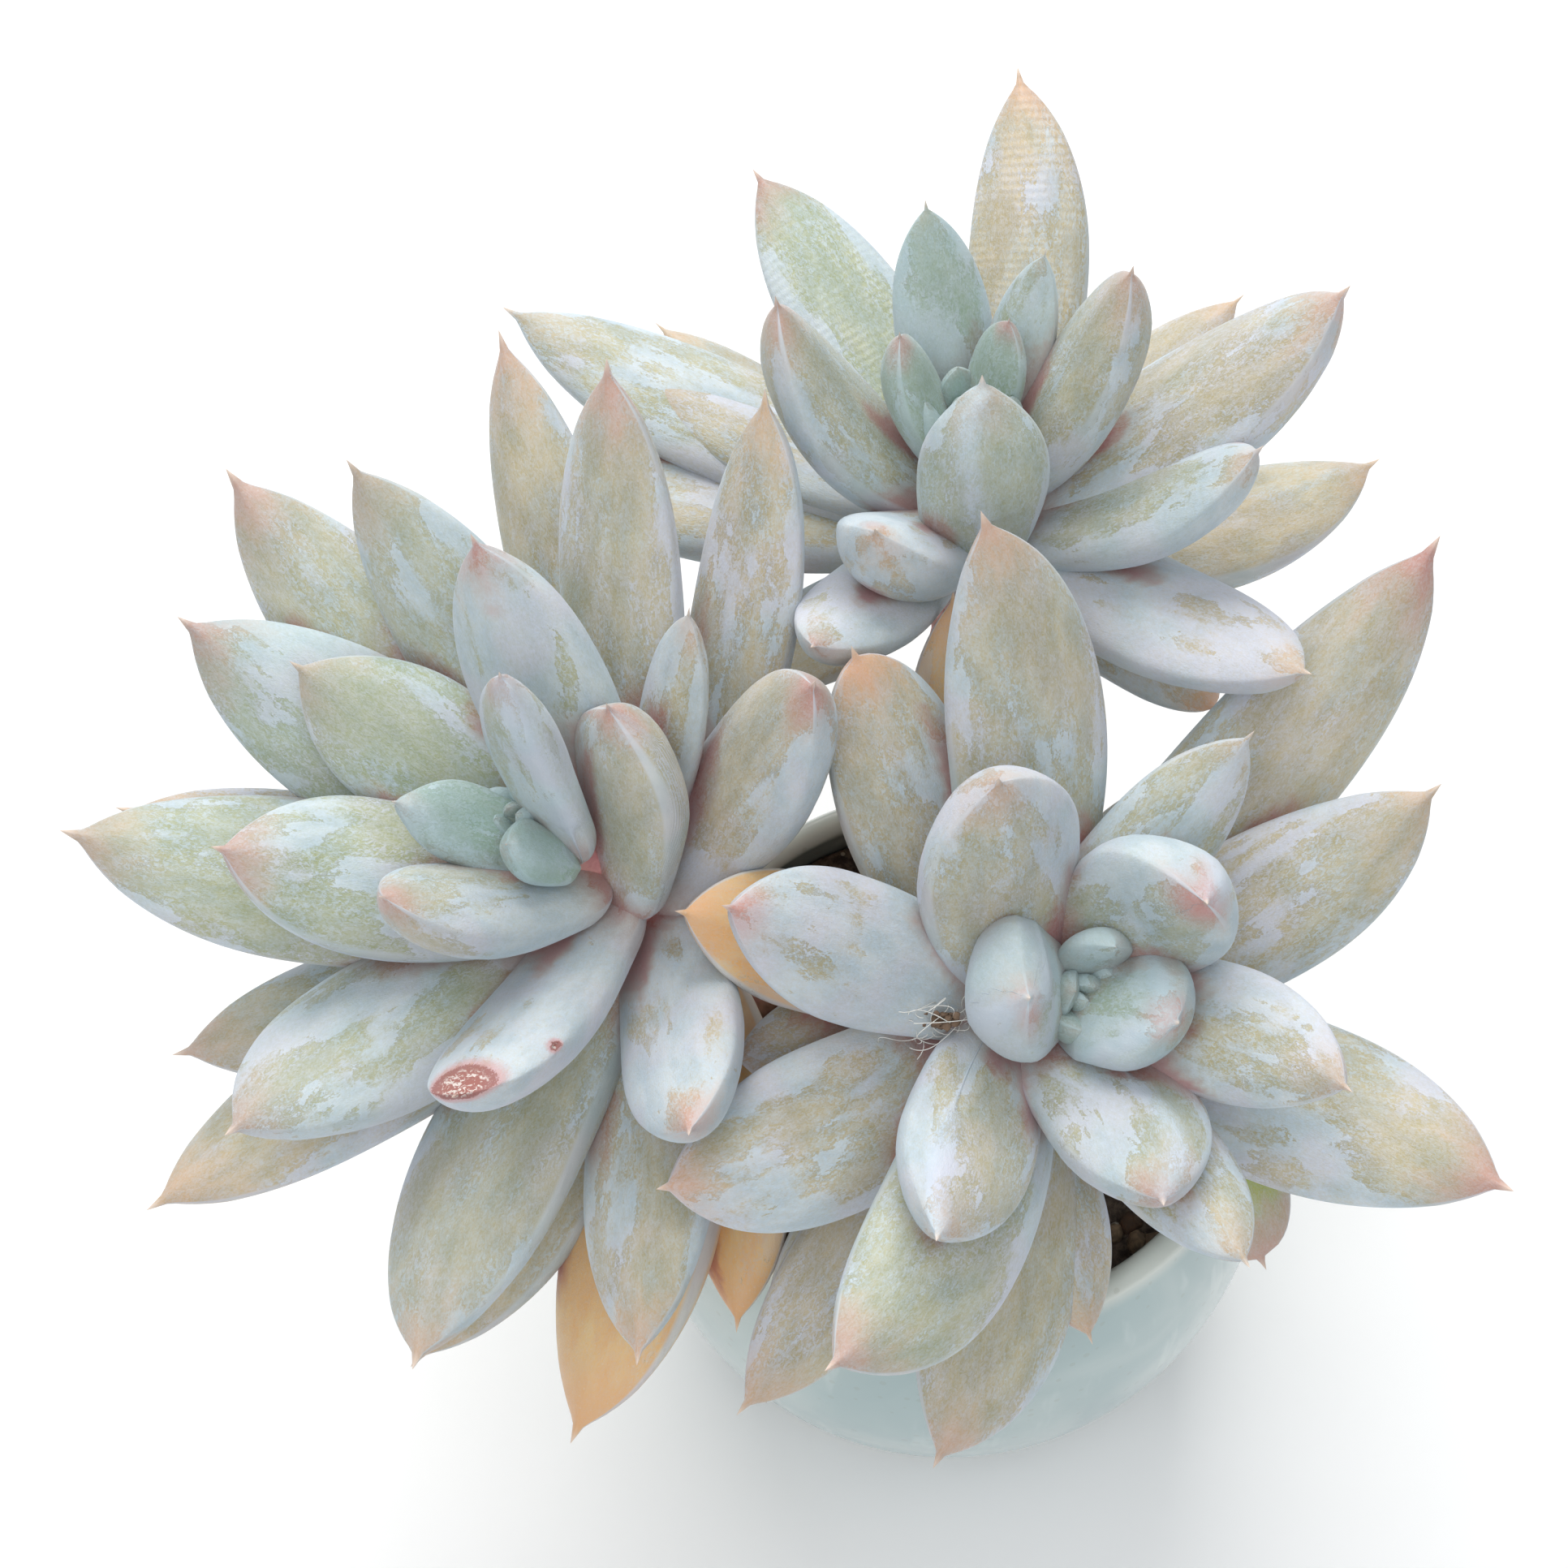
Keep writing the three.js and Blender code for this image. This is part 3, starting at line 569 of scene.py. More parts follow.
# Each row: turn about the axis, lean from it, length, width, height of the root, curl, sway, and then how
# much bloom is left, how warm the skin is, how green, how strong the tip's blush is and how red.
LEAVES = {
    "left": [
        (176, 51, 62, 18, 6, 20, -15, 0.45, 0.2, 0.1, 0.6, 0.1),
        (182, 37, 46, 17.5, 10, 25, -10, 0.4, 0.15, 0.1, 0.8, 0.4),
        (139, 48, 42, 16.5, 11, 15, 0, 0.35, 0.1, 0.2, 0.5, 0.1),
        (144, 51, 58, 18, 5, 15, -10, 0.5, 0.1, 0.3, 0.8, 0.5),
        (127, 56, 66, 17.5, 2, 12, -18, 0.45, 0.35, 0.1, 0.8, 0.2),
        (110, 49, 57, 15, 6, 20, 0, 0.4, 0.35, 0.2, 0.5, 0.1),
        (86, 39, 46, 15.5, 10, 10, 0, 0.8, 0.25, 0.1, 0.9, 0.6),
        (63, 26, 31, 9.5, 20, 2, -20, 0.5, 0.3, 0.3, 0.8, 0.6),
        (45, 35, 32.5, 15.5, 9, 22, 10, 0.35, 0.45, 0.1, 1.0, 0.4),
        (230, 18, 35.5, 13, 13.5, 31, 5, 0.45, 0.4, 0.1, 0.8, 0.4),
        (166, 27, 23, 9, 19.5, 25, 3, 0.45, 0.0, 0.9, 0.5, 0.6),
        (189, 5, 13, 7, 21.5, 14, 18, 0.3, 0.0, 1.0, 0.4, 0.5),
        (227, 48, 56, 18.5, 4, 22, 25, 0.6, 0.3, 0.2, 0.5, 1.0),
        (200, 66, 55, 15, 1, 15, -5, 0.4, 0.4, 0.0, 0.7, 0.1),
        (217, 65, 64, 16, 1, 12, 8, 0.2, 0.6, 0.0, 0.6, 0.1),
        (268, 40, 45, 13.5, 8, 37, 22, 0.75, 0.5, 0.0, 0.2, 0.8),
        (254, 68, 60, 18, 2, 17, 30, 0.3, 0.5, 0.2, 0.6, 0.2),
        (239, 90, 58, 16.5, 0, 13, -14, 0.15, 0.65, 0.0, 0.6, 0.1),
        (274, 80, 53, 15, 1, 20, 4, 0.5, 0.6, 0.1, 0.8, 0.2),
        (258, 93, 60, 18, -2, 10, -25, 0.1, 0.95, 0.1, 0.9, 0.1),
        (300, 54, 45, 14.5, 1, 28, 8, 0.7, 0.6, 0.0, 0.8, 0.7),
        (20, 51, 48, 15.5, 3, 30, -10, 0.4, 0.65, 0.0, 0.8, 0.9),
        (60, 63, 61, 13.5, 1, 27, 10, 0.5, 0.65, 0.0, 0.7, 0.0),
        (75, 58, 60, 15, 6, 18, -8, 0.35, 0.5, 0.1, 0.9, 0.4),
        (95, 65, 65, 13.5, 1, 13, -5, 0.4, 0.5, 0.0, 0.8, 0.1),
        (49, 51, 39, 9, 7, 20, -6, 0.65, 0.45, 0.0, 0.6, 0.1),
        (170, 56, 60, 14, 0, 15, -6, 0.3, 0.6, 0.0, 0.6, 0.1),
        (276, 101, 48, 13.5, -2, 20, -25, 0.3, 0.95, 0.0, 0.9, 0.1),
        (156, 88, 46, 13, -3, 15, 0, 0.4, 0.4, 0.0, 0.6, 0.2),
        (118, 86, 46, 13, -3, 15, 0, 0.4, 0.5, 0.0, 0.6, 0.2),
        (188, 88, 44, 13, -3, 15, 0, 0.4, 0.6, 0.0, 0.6, 0.2),
        (224, 96, 42, 13, -3, 15, 0, 0.4, 0.7, 0.0, 0.6, 0.2),
    ],
    "back": [
        (82, 63, 53, 14, 2, 17, 30, 0.3, 0.6, 0.0, 0.7, 0.1),
        (122, 70, 48, 14.5, 2, 12, 12, 0.4, 0.15, 0.1, 0.8, 0.6),
        (106, 30, 34, 11, 7, 13, 0, 0.6, 0.0, 0.7, 0.2, 0.1),
        (52, 25, 31, 8, 7, 16, 0, 0.5, 0.3, 0.4, 0.4, 0.1),
        (5, 24, 41, 14, 5, 30, 0, 0.45, 0.4, 0.0, 0.7, 0.3),
        (2, 47, 54, 17, 2, 28, 5, 0.35, 0.45, 0.0, 0.8, 0.2),
        (338, 50, 43, 14, 2, 40, 10, 0.6, 0.3, 0.1, 0.6, 0.1),
        (17, 98, 52, 15, 0, 30, 30, 0.15, 0.6, 0.0, 0.5, 0.1),
        (39, 80, 42, 10, 2, 15, 0, 0.3, 0.6, 0.0, 0.6, 0.1),
        (178, 31, 41, 14, 5, 40, -20, 0.25, 0.4, 0.1, 0.8, 0.3),
        (158, 76, 58, 15, 1, 17, 0, 0.5, 0.35, 0.0, 0.4, 0.1),
        (145, 80, 44, 10, 0, 18, -8, 0.35, 0.6, 0.0, 0.5, 0.1),
        (160, 78, 40, 10, 3, 20, -10, 0.5, 0.5, 0.0, 0.6, 0.1),
        (170, 20, 23, 9.5, 11, 25, -8, 0.5, 0.1, 0.7, 0.7, 0.6),
        (38, 14, 21, 7.5, 12, 12, -5, 0.5, 0.1, 0.7, 0.8, 0.7),
        (275, 5, 33, 14.5, 4, 45, 0, 0.35, 0.3, 0.3, 0.5, 0.4),
        (243, 45, 34, 14.5, 4, 48, 5, 0.6, 0.65, 0.0, 0.5, 0.6),
        (241, 63, 41, 12, 3, 35, 12, 0.85, 0.3, 0.0, 0.7, 1.0),
        (316, 72, 51, 14.5, 2, 35, -15, 0.65, 0.5, 0.0, 0.6, 0.1),
        (326, 104, 35, 12, -2, 10, -30, 0.4, 0.65, 0.0, 1.0, 0.2),
        (176, 80, 52, 13, -1, 13, -5, 0.45, 0.5, 0.0, 0.9, 0.1),
        (104, 96, 42, 14, -3, 15, 0, 0.4, 0.4, 0.0, 0.6, 0.2),
        (62, 98, 42, 14, -3, 15, 0, 0.4, 0.5, 0.0, 0.6, 0.2),
        (150, 104, 40, 13, -3, 15, 0, 0.35, 0.5, 0.0, 0.6, 0.2),
        (352, 112, 38, 13, -2, 15, 0, 0.35, 0.6, 0.0, 0.6, 0.2),
        (205, 104, 34, 12, -3, 15, 0, 0.35, 0.7, 0.0, 0.7, 0.2),
        (26, 116, 36, 12, -2, 15, 0, 0.3, 0.7, 0.0, 0.6, 0.2),
        (84, 118, 34, 12, -2, 15, 0, 0.3, 0.7, 0.0, 0.6, 0.2),
    ],
    "right": [
        (104, 61, 60, 17, 5, 10, 35, 0.3, 0.5, 0.1, 0.8, 0.1),
        (121, 66, 48, 15.5, 2, 20, 5, 0.4, 0.75, 0.0, 1.0, 0.2),
        (118, 42, 39, 18, 9, 30, 10, 0.5, 0.45, 0.0, 0.6, 0.3),
        (58, 54, 42, 12.5, 7, 15, 2, 0.65, 0.4, 0.1, 0.4, 0.3),
        (51, 67, 71, 17, 1, 11, 25, 0.35, 0.5, 0.0, 0.8, 0.9),
        (31, 60, 54, 16, 4, 17, 30, 0.35, 0.45, 0.0, 0.5, 0.1),
        (50, 16, 36, 17, 8, 60, 0, 0.55, 0.35, 0.2, 0.9, 0.7),
        (340, 34, 45, 14, 7, 25, -35, 0.6, 0.4, 0.0, 0.5, 0.5),
        (337, 54, 60, 18, 2, 30, -15, 0.5, 0.45, 0.0, 0.8, 0.6),
        (284, 33, 38, 16, 7, 10, -40, 0.5, 0.35, 0.1, 0.7, 0.7),
        (298, 40, 46, 13, 4, 14, -20, 0.6, 0.4, 0.0, 0.4, 0.5),
        (314, 72, 42, 17, 0, 10, -50, 0.35, 0.4, 0.1, 0.9, 0.1),
        (232, 47, 40, 15, 8, 13, -4, 0.6, 0.4, 0.0, 0.5, 0.4),
        (232, 60, 54, 18, 4, -10, -45, 0.45, 0.3, 0.1, 0.8, 0.2),
        (260, 84, 51, 17.5, 0, 5, -45, 0.35, 0.45, 0.0, 0.7, 0.1),
        (237, 92, 52, 14, -1, 11, -20, 0.2, 0.55, 0.0, 0.6, 0.2),
        (240, 94, 49, 14, -1, 12, 0, 0.2, 0.5, 0.0, 0.5, 0.2),
        (204, 77, 47, 18, 4, 10, -30, 0.6, 0.55, 0.0, 0.8, 0.2),
        (165, 64, 44, 15, 9, 15, 5, 0.65, 0.5, 0.0, 0.6, 1.0),
        (165, 78, 41, 15, 2, 22, 15, 0.1, 1.0, 0.0, 0.6, 0.4),
        (185, 30, 21, 15.5, 14.5, 54, 18, 0.65, 0.2, 0.4, 0.6, 0.3),
        (325, 16, 22, 13.5, 12.5, 12, -7, 0.65, 0.1, 0.5, 0.6, 0.6),
        (84, 23, 15, 7, 14.5, 65, 5, 0.5, 0.0, 0.7, 0.2, 0.3),
        (99, 79, 47, 11.5, 0, 10, -10, 0.2, 0.9, 0.0, 1.0, 0.1),
        (352, 84, 44, 13, -3, 15, 0, 0.4, 0.6, 0.0, 0.6, 0.2),
        (20, 86, 44, 13, -3, 15, 0, 0.4, 0.7, 0.0, 0.6, 0.2),
        (42, 94, 42, 13, -3, 15, 0, 0.35, 0.7, 0.0, 0.6, 0.2),
        (76, 100, 34, 12, -3, 15, 0, 0.35, 0.7, 0.0, 0.7, 0.2),
        (286, 82, 38, 13, -2, 8, 0, 0.35, 0.6, 0.0, 0.6, 0.2),
        (190, 90, 30, 12, -1, 10, 0, 0.4, 0.5, 0.0, 0.6, 0.6),
    ],
}

# Leaves that differ from the common form: how far out the root starts and how wide it is, how sharply the tip
# closes, and how far the whole leaf stands off the axis.
CHANGES = {
    "left": {
        7: {"point": 1.1, "root": 0.75, "shift": (0.7, 1.0)},
        8: {"point": 1.3, "root": 0.8, "out": -1.0},
        9: {"root": 0.7},
        10: {"point": 1.35, "shift": (0.0, 1.0)},
        11: {"point": 1.5, "shift": (0.0, -1.0), "out": -1.5},
        15: {"point": 0.6, "root": 0.7},
    },
    "back": {15: {"out": 5.0}, 19: {"point": 0.7}},
    "right": {
        1: {"point": 0.7},
        6: {"out": 4.0},
        11: {"point": 0.6},
        20: {"point": 1.1, "shift": (3.2, 1.9)},
        21: {"point": 0.8, "shift": (3.6, 2.0)},
        22: {"out": -0.5, "shift": (3.6, 1.3)},
    },
}
# Each heart: the first leaf's turn, height, length and width, and how far the heart stands off the axis.
HEARTS = {"left": (150, 22, 9, 4.5), "back": (200, 13, 14, 6), "right": (250, 14.5, 9.5, 6)}
HEART_SHIFT = {"left": (-2.2, 3.9), "back": (0.0, 0.0), "right": (3.6, 1.3)}

# Marks of single leaves, placed by (share of the length, degrees round it, with 90 on the middle of the
# upper face). Ridges were pressed in while the leaf lay folded in the bud. Scratches are combed beside one
# line. Scars, pink spots and the lime patch are rounds with a radius in mm. Ribbed leaves have fine ribs
# across them.
RIDGES = {
    "left": {7: [(0.25, 42, 0.97, 68)], 10: [(0.4, 145, 0.97, 100)], 11: [(0.25, 101, 0.95, 125)]},
    "back": {15: [(0.55, 275, 0.97, 300)]},
    "right": {
        6: [(0.7, 262, 0.95, 280)],
        9: [(0.55, 100, 0.95, 120)],
        12: [(0.6, 58, 0.97, 60)],
        20: [(0.43, 31, 0.95, 110), (0.6, 256, 0.93, 235)],
        21: [(0.5, 150, 0.97, 100), (0.41, 8, 0.93, 60)],
    },
}
SCRATCHES = {"left": {8: (0.36, 2, 0.8, -38)}}
SCARS = {"left": {15: [(0.93, 92, 3.0), (0.69, 164, 1.0)]}}
SPOTS = {
    "left": {6: [(0.82, 88, 1.2)], 8: [(0.86, 160, 1.4)]},
    "back": {16: [(0.91, 65, 1.6)]},
    "right": {6: [(0.94, 100, 3.0)], 18: [(0.94, 90, 3.0)], 20: [(0.93, 150, 3.2)], 21: [(0.92, 100, 2.8)]},
}
LIMES = {"right": {11: [(0.72, 117, 8.0)]}}
RIBBED = {"back": (0, 1)}

# In mm: how far a fold stands up and reaches to each side, how far a scar sinks and its rim stands up, and
# the distance given to leaves that have no such mark.
FOLD_HEIGHT = 0.5
FOLD_REACH = 4.0
SCAR_DEPTH = 0.45
SCAR_RIM = 0.22
FAR_OFF = 99.0


def heart_rows(start, height, length, width):
    """Rows for the heart's leaves: leaf i turns by 137.5 i, and is smaller, steeper and higher as i grows."""
    share = np.arange(HEART_LEAVES) / (HEART_LEAVES - 1)
    size = 1 - 0.45 * share
    turns = start + GOLDEN_ANGLE * np.arange(HEART_LEAVES)
    growth = [turns, 24 - 18 * share, length * size, width * size, height + 2.5 * share, 40, 0]
    colouring = [0.45, 0, 1, 0.25, 0.4]
    return np.stack([column + 0 * share for column in growth + colouring], axis=1)


def leaf_profile(rows, form, t):
    """Half the width and half the thickness at t, in mm, and v, how far t lies past the peak. The width is
    root + (1 - root) sin(pi/2 t / peak)^1.15 up to the peak, and (1 - v^2.4)^(0.8 point) past it, closing
    before the end. The thickness is a like curve, held to a share of the width. Both are drawn in at the
    very root by a quarter circle, and joined as cubes to a narrow cone that is the tip's nib."""
    length, width = rows[:, 2, None], rows[:, 3, None]
    point, root = form["point"][:, None], form["root"][:, None]
    rise = np.sin(np.pi / 2 * np.minimum(t / PEAK, 1))
    past = np.clip((t - PEAK) / (BODY_END - PEAK), 0, 1)
    wide = np.where(past > 0, (1 - past ** 2.4) ** (0.8 * point), root + (1 - root) * rise ** 1.15)
    thick = np.where(past > 0, (1 - past ** 2.6) ** 0.7, ROOT_THICKNESS + (1 - ROOT_THICKNESS) * rise)
    drawn = 0.35 + 0.65 * np.sqrt(1 - (1 - np.minimum(t / ROOT_ROUND, 1)) ** 2)
    wide, thick = wide * drawn, thick * drawn
    nib_length = np.minimum(NIB_LENGTH, 0.16 * length)
    nib = NIB_RADIUS * width / COMMON_WIDTH * np.clip((1 - t) * length / nib_length, 0, 1.5)
    half_width = np.cbrt((width / 2 * wide) ** 3 + nib ** 3)
    half_thick = np.minimum(width / 2 * THICKNESS * thick, width / 2 * wide * THICKEST)
    return half_width, np.cbrt(half_thick ** 3 + (0.9 * nib) ** 3), past


def headings(lean, curl, sway, t):
    """The middle line's direction at t, (sin a cos s, sin s, cos a cos s), and the angle a. Here a is
    lean + curl (0.5 - t) and s is sway (t - 0.5): curl bends the leaf toward the axis and sway sideways."""
    angle = np.radians(lean + curl * (0.5 - t))
    side = np.radians(sway) * (t - 0.5)
    flat = np.cos(side)
    return np.stack([np.sin(angle) * flat, np.sin(side) + 0 * angle, np.cos(angle) * flat], axis=-1), angle


def leaf_skin(rows, form, t, around, swell):
    """Points of k leaves at the shares t of their lengths and the angles around, as (k, m, n, 3) about the
    axis. The middle line is the sum of its headings along the length. A section reaches x = cos^0.94 half
    widths across. Its upper face goes from sin^0.95 near the root to 1 - |x|^1.5 at the tip, where it meets
    the margin in a crease. Its lower face is sin^k, with k growing from 0.95 to 1.45 so that a keel forms
    there. All is times swell."""
    turn, lean, length, width, height, curl, sway = (rows[:, i, None] for i in range(7))
    way, _ = headings(lean, curl, sway, np.linspace(0, 1, SPINE_STEPS + 1))
    middle = (way[:, 1:] + way[:, :-1]) / 2 * (length / SPINE_STEPS)[..., None]
    line = np.concatenate([np.zeros((len(rows), 1, 3)), np.cumsum(middle, axis=1)], axis=1)
    low = np.clip((t * SPINE_STEPS).astype(int), 0, SPINE_STEPS - 1)
    part = (t * SPINE_STEPS - low)[:, None]
    spine = line[:, low] * (1 - part) + line[:, low + 1] * part
    way, angle = headings(lean, curl, sway, t)
    upward = np.stack([-np.cos(angle), 0 * angle, np.sin(angle)], axis=-1)
    sideways = np.cross(way, upward)
    half_width, half_thick, past = leaf_profile(rows, form, t)
    cos, sin = np.cos(around), np.sin(around)
    aside = np.sign(cos) * np.abs(cos) ** 0.94
    deep = -LOWER_SHARE * np.abs(sin) ** (0.95 + 0.5 * past[:, None])
    sharp = 0.1 + 0.7 * past[:, None]
    roof = 1 - np.abs(aside) ** (2.2 - 0.7 * past[:, None])
    high = UPPER_SHARE * (sharp * roof + (1 - sharp) * np.abs(sin) ** 0.95)
    across = half_width[..., None] * aside * swell
    above = half_thick[..., None] * np.where(sin > 0, high, deep) * swell
    shape = (spine[:, :, None] + across[..., None] * sideways[:, :, None]
             + above[..., None] * upward[:, :, None])
    shape[..., 0] += form["out"][:, None, None]
    cos_turn, sin_turn = np.cos(np.radians(turn))[..., None], np.sin(np.radians(turn))[..., None]
    x = cos_turn * shape[..., 0] - sin_turn * shape[..., 1] + form["shift"][:, 0, None, None]
    y = sin_turn * shape[..., 0] + cos_turn * shape[..., 1] + form["shift"][:, 1, None, None]
    return np.stack([x, y, shape[..., 2] + height[..., None]], axis=-1), across, above


def set_on_axis(points, side):
    """Points about a rosette's own axis, moved to where the rosette stands on the plant."""
    axes = ROSETTE_AXES[side]
    return points @ axis_frame(axes["lean"], axes["turn"]) + np.array(axes["base"])


def rosette_rows(side):
    """All leaves of a rosette as one array of rows, and arrays of what may differ in form between leaves."""
    rows = np.concatenate([np.array(LEAVES[side], float), heart_rows(*HEARTS[side])])
    form = {"out": np.zeros(len(rows)), "point": np.ones(len(rows)), "root": np.full(len(rows), ROOT_WIDTH),
            "shift": np.zeros((len(rows), 2))}
    form["shift"][-HEART_LEAVES:] = HEART_SHIFT[side]
    for index, changes in CHANGES[side].items():
        for label, value in changes.items():
            form[label][index] = value
    return rows, form


def half_turn(degrees):
    """An angle difference brought between -180 and 180 degrees."""
    return (degrees + 180) % 360 - 180


def line_distance(rows, girth, t, around, lines):
    """Signed distance in mm over each leaf's skin from its line (t0, degrees0, t1, degrees1): the angle from
    the line times girth, the mean radius at t. It grows faster past the line's ends."""
    far = np.full((len(rows), len(t), len(around)), FAR_OFF)
    for index, (t0, a0, t1, a1) in lines.items():
        on_line = a0 + (a1 - a0) * np.clip((t - t0) / (t1 - t0), 0, 1)
        aside = np.radians(half_turn(np.degrees(around)[None] - on_line[:, None])) * girth[index][:, None]
        beyond = np.maximum(np.maximum(t0 - t, t - t1), 0) * rows[index, 2]
        far[index] = aside * (1 + 1.5 * beyond[:, None]) + 0.001
    return far


def spot_distance(rows, girth, t, around, spots):
    """Distance over each leaf's skin from its nearest spot (t, degrees, radius), as a share of its radius."""
    far = np.full((len(rows), len(t), len(around)), FAR_OFF)
    for index, places in spots.items():
        for t0, a0, radius in places:
            aside = np.radians(half_turn(np.degrees(around)[None] - a0)) * girth[index][:, None]
            far[index] = np.minimum(far[index], np.hypot(aside, (t[:, None] - t0) * rows[index, 2]) / radius)
    return far


def closeness(shape):
    """How much plant stands close in front of each point: cells of 1.5 mm are marked full inside the leaves,
    the marks are averaged over 5 cells each way, and the average is read 4 mm out from the skin."""
    cell, border, look = 1.5, 12, 4
    middle = shape.mean(axis=2, keepdims=True)
    out = (shape - middle) / np.maximum(np.linalg.norm(shape - middle, axis=-1, keepdims=True), 1e-9)
    depths = (0.2, 0.5, 0.8, 1.0)
    inside = np.concatenate([(middle + depth * (shape - middle)).reshape(-1, 3) for depth in depths])
    low = inside.min(axis=0) - border
    full = np.zeros(((inside.max(axis=0) + border - low) / cell).astype(int))
    full[tuple(((inside - low) / cell).astype(int).T)] = 1.0
    for axis in range(3):
        full = sum(np.roll(full, step, axis) for step in (-2, -1, 0, 1, 2)) / 5
    return full[tuple(np.moveaxis(((shape + look * out - low) / cell).astype(int), -1, 0))]


def rosette_leaves(side, seed):
    """The skins of a rosette's leaves with their marks: where a point lies on its leaf, and the leaf's
    colouring. Each section swells by small waves, 0.035 sin(2 around + 4 t) + 0.02 sin(3 around - 9 t),
    stands up by (1 - distance / reach)^1.5 beside a fold, and sinks in a scar by exp(-(distance)^4) with a
    rim about it. grain is the place in the straightened leaf in mm, moved by a random step for each leaf."""
    rows, form = rosette_rows(side)
    draw = np.random.default_rng(seed)
    t = (1 - np.cos(np.linspace(0, np.pi, LEAF_RINGS))) / 2
    t = 0.35 * t + 0.65 * np.linspace(0, 1, LEAF_RINGS)
    t[-1] = 0.998
    around = np.linspace(0, 2 * np.pi, LEAF_SIDES, endpoint=False)
    half_width, half_thick, _ = leaf_profile(rows, form, t)
    girth = (half_width + half_thick) / 2
    least = np.maximum(girth, 1.0)[..., None]
    leaf = (rows, girth, t, around)
    ridges = []
    for i in range(2):
        lines = {index: pair[i] for index, pair in RIDGES[side].items() if len(pair) > i}
        ridges.append(line_distance(*leaf, lines))
    scratches = line_distance(*leaf, SCRATCHES.get(side, {}))
    scar, spot, lime = (spot_distance(*leaf, places.get(side, {})) for places in (SCARS, SPOTS, LIMES))
    phase = draw.uniform(0, 2 * np.pi, (2, len(rows), 1, 1))
    long_wave = 0.035 * np.sin(2 * around + 4 * t[:, None] + phase[0])
    short_wave = 0.02 * np.sin(3 * around - 9 * t[:, None] + phase[1])
    swell = 1 + (long_wave + short_wave) * np.sin(np.pi * t)[:, None]
    for ridge in ridges:
        swell = swell + FOLD_HEIGHT * np.clip(1 - np.abs(ridge) / FOLD_REACH, 0, 1) ** 1.5 / least
    sink = SCAR_DEPTH * np.exp(-((scar / 0.75) ** 4)) - SCAR_RIM * np.exp(-(((scar - 1.05) / 0.22) ** 2))
    swell = swell - sink / least
    shape, across, above = leaf_skin(rows, form, t, around, swell)
    plain = np.ones((1, 1, LEAF_SIDES))
    ends = [leaf_skin(rows, form, np.array([end]), around, plain)[0] for end in (0.0, 1.0)]
    size = across.shape
    along = np.broadcast_to(t[None, :, None], size)
    step = draw.uniform(-400, 400, (len(rows), 1, 1, 3))
    ribs = np.zeros(len(rows))
    ribs[list(RIBBED.get(side, ()))] = 1.0

    def per_leaf(*columns):
        """The same three values at every point of a leaf."""
        return np.broadcast_to(np.stack(columns, axis=-1)[:, None, None], (*size, 3))

    marks = {
        "grain": np.stack([across, above, along * rows[:, 2, None, None]], axis=-1) + step,
        "along": along[..., None],
        "edge": np.broadcast_to(np.sign(np.cos(around)) * np.abs(np.cos(around)) ** 0.94, size)[..., None],
        "upper": np.broadcast_to(np.sin(around), size)[..., None],
        "tone": per_leaf(rows[:, 7], rows[:, 8], rows[:, 9]),
        "tip": per_leaf(rows[:, 10], rows[:, 11], ribs),
        "ridges": np.stack([*ridges, scratches], axis=-1),
        # How much plant stands close in front of the skin: the mask for shade painted into the crevices.
        "crevice_shade": closeness(set_on_axis(shape, side))[..., None],
        "scar": scar[..., None],
        "spot": spot[..., None],
        "lime": lime[..., None],
    }
    roots, tips = (set_on_axis(end[:, 0].mean(axis=1), side) for end in ends)
    return set_on_axis(shape, side), roots, tips, marks


def lessened(tree, share, mask, loss):
    """The share with a part taken away where the mask is 1: share (1 - loss mask)."""
    return calc(tree, "MULTIPLY", share, calc(tree, "MULTIPLY_ADD", mask, -loss, 1.0))


# Wax bloom. Its level is made of broad fields, tongues along the leaf, a ragged coast and grit. Over 0 the
# wax is thick. Just under 0 it is worn, with flecks of bare skin, and further down it is a thin film. Brink
# is a line just outside the thick wax and Crest one just inside, both only where the edge is crisp.
bloom, bloom_in, bloom_out = new_group(
    "wax_bloom",
    {"Grain": ("vector", (0.0, 0.0, 0.0)), "Cover": ("value", 0.5)},
    {"Share": "value", "Brink": "value", "Crest": "value", "Grit": "value"},
)
grain = bloom_in["Grain"]
fields = noise(bloom, stretched(bloom, grain, 0.4), 0.11, 3.0, 0.6, 0.6)
tongues = noise(bloom, stretched(bloom, grain, 0.2), 0.5, 4.0, 0.6, 0.4)
coast = noise(bloom, stretched(bloom, grain, 0.7), 2.4, 4.0, 0.7)
worms = noise(bloom, stretched(bloom, grain, 0.55), 3.0, 3.0, 0.65, 1.0)
grit = noise(bloom, stretched(bloom, grain, 0.45), 6.5, 2.0, 0.65)
level = nudged(bloom, fields, tongues, 0.46)
level = nudged(bloom, level, coast, 0.17)
level = nudged(bloom, level, grit, 0.07)
level = calc(bloom, "ADD", level, calc(bloom, "MULTIPLY_ADD", bloom_in["Cover"], 0.5, -0.81))
smooth = ramp(bloom, noise(bloom, grain, 0.21, 1.0), 0.44, 0.6)
softness = calc(bloom, "MULTIPLY_ADD", smooth, 0.1, 0.008)
thick = ramp(bloom, calc(bloom, "DIVIDE", level, softness), -1.0, 1.0)
worn_level = calc(bloom, "DIVIDE", calc(bloom, "ADD", level, 0.13), calc(bloom, "ADD", softness, 0.05))
worn = ramp(bloom, worn_level, -1.0, 1.0)
film = calc(bloom, "MULTIPLY_ADD", ramp(bloom, worms, 0.38, 0.62), 0.26, 0.22)
film = nudged(bloom, film, grit, 0.55)
thin = calc(bloom, "MULTIPLY_ADD", worn, 0.28, film)
zone = calc(bloom, "ABSOLUTE", calc(bloom, "MULTIPLY_ADD", level, 14.0, 0.75))
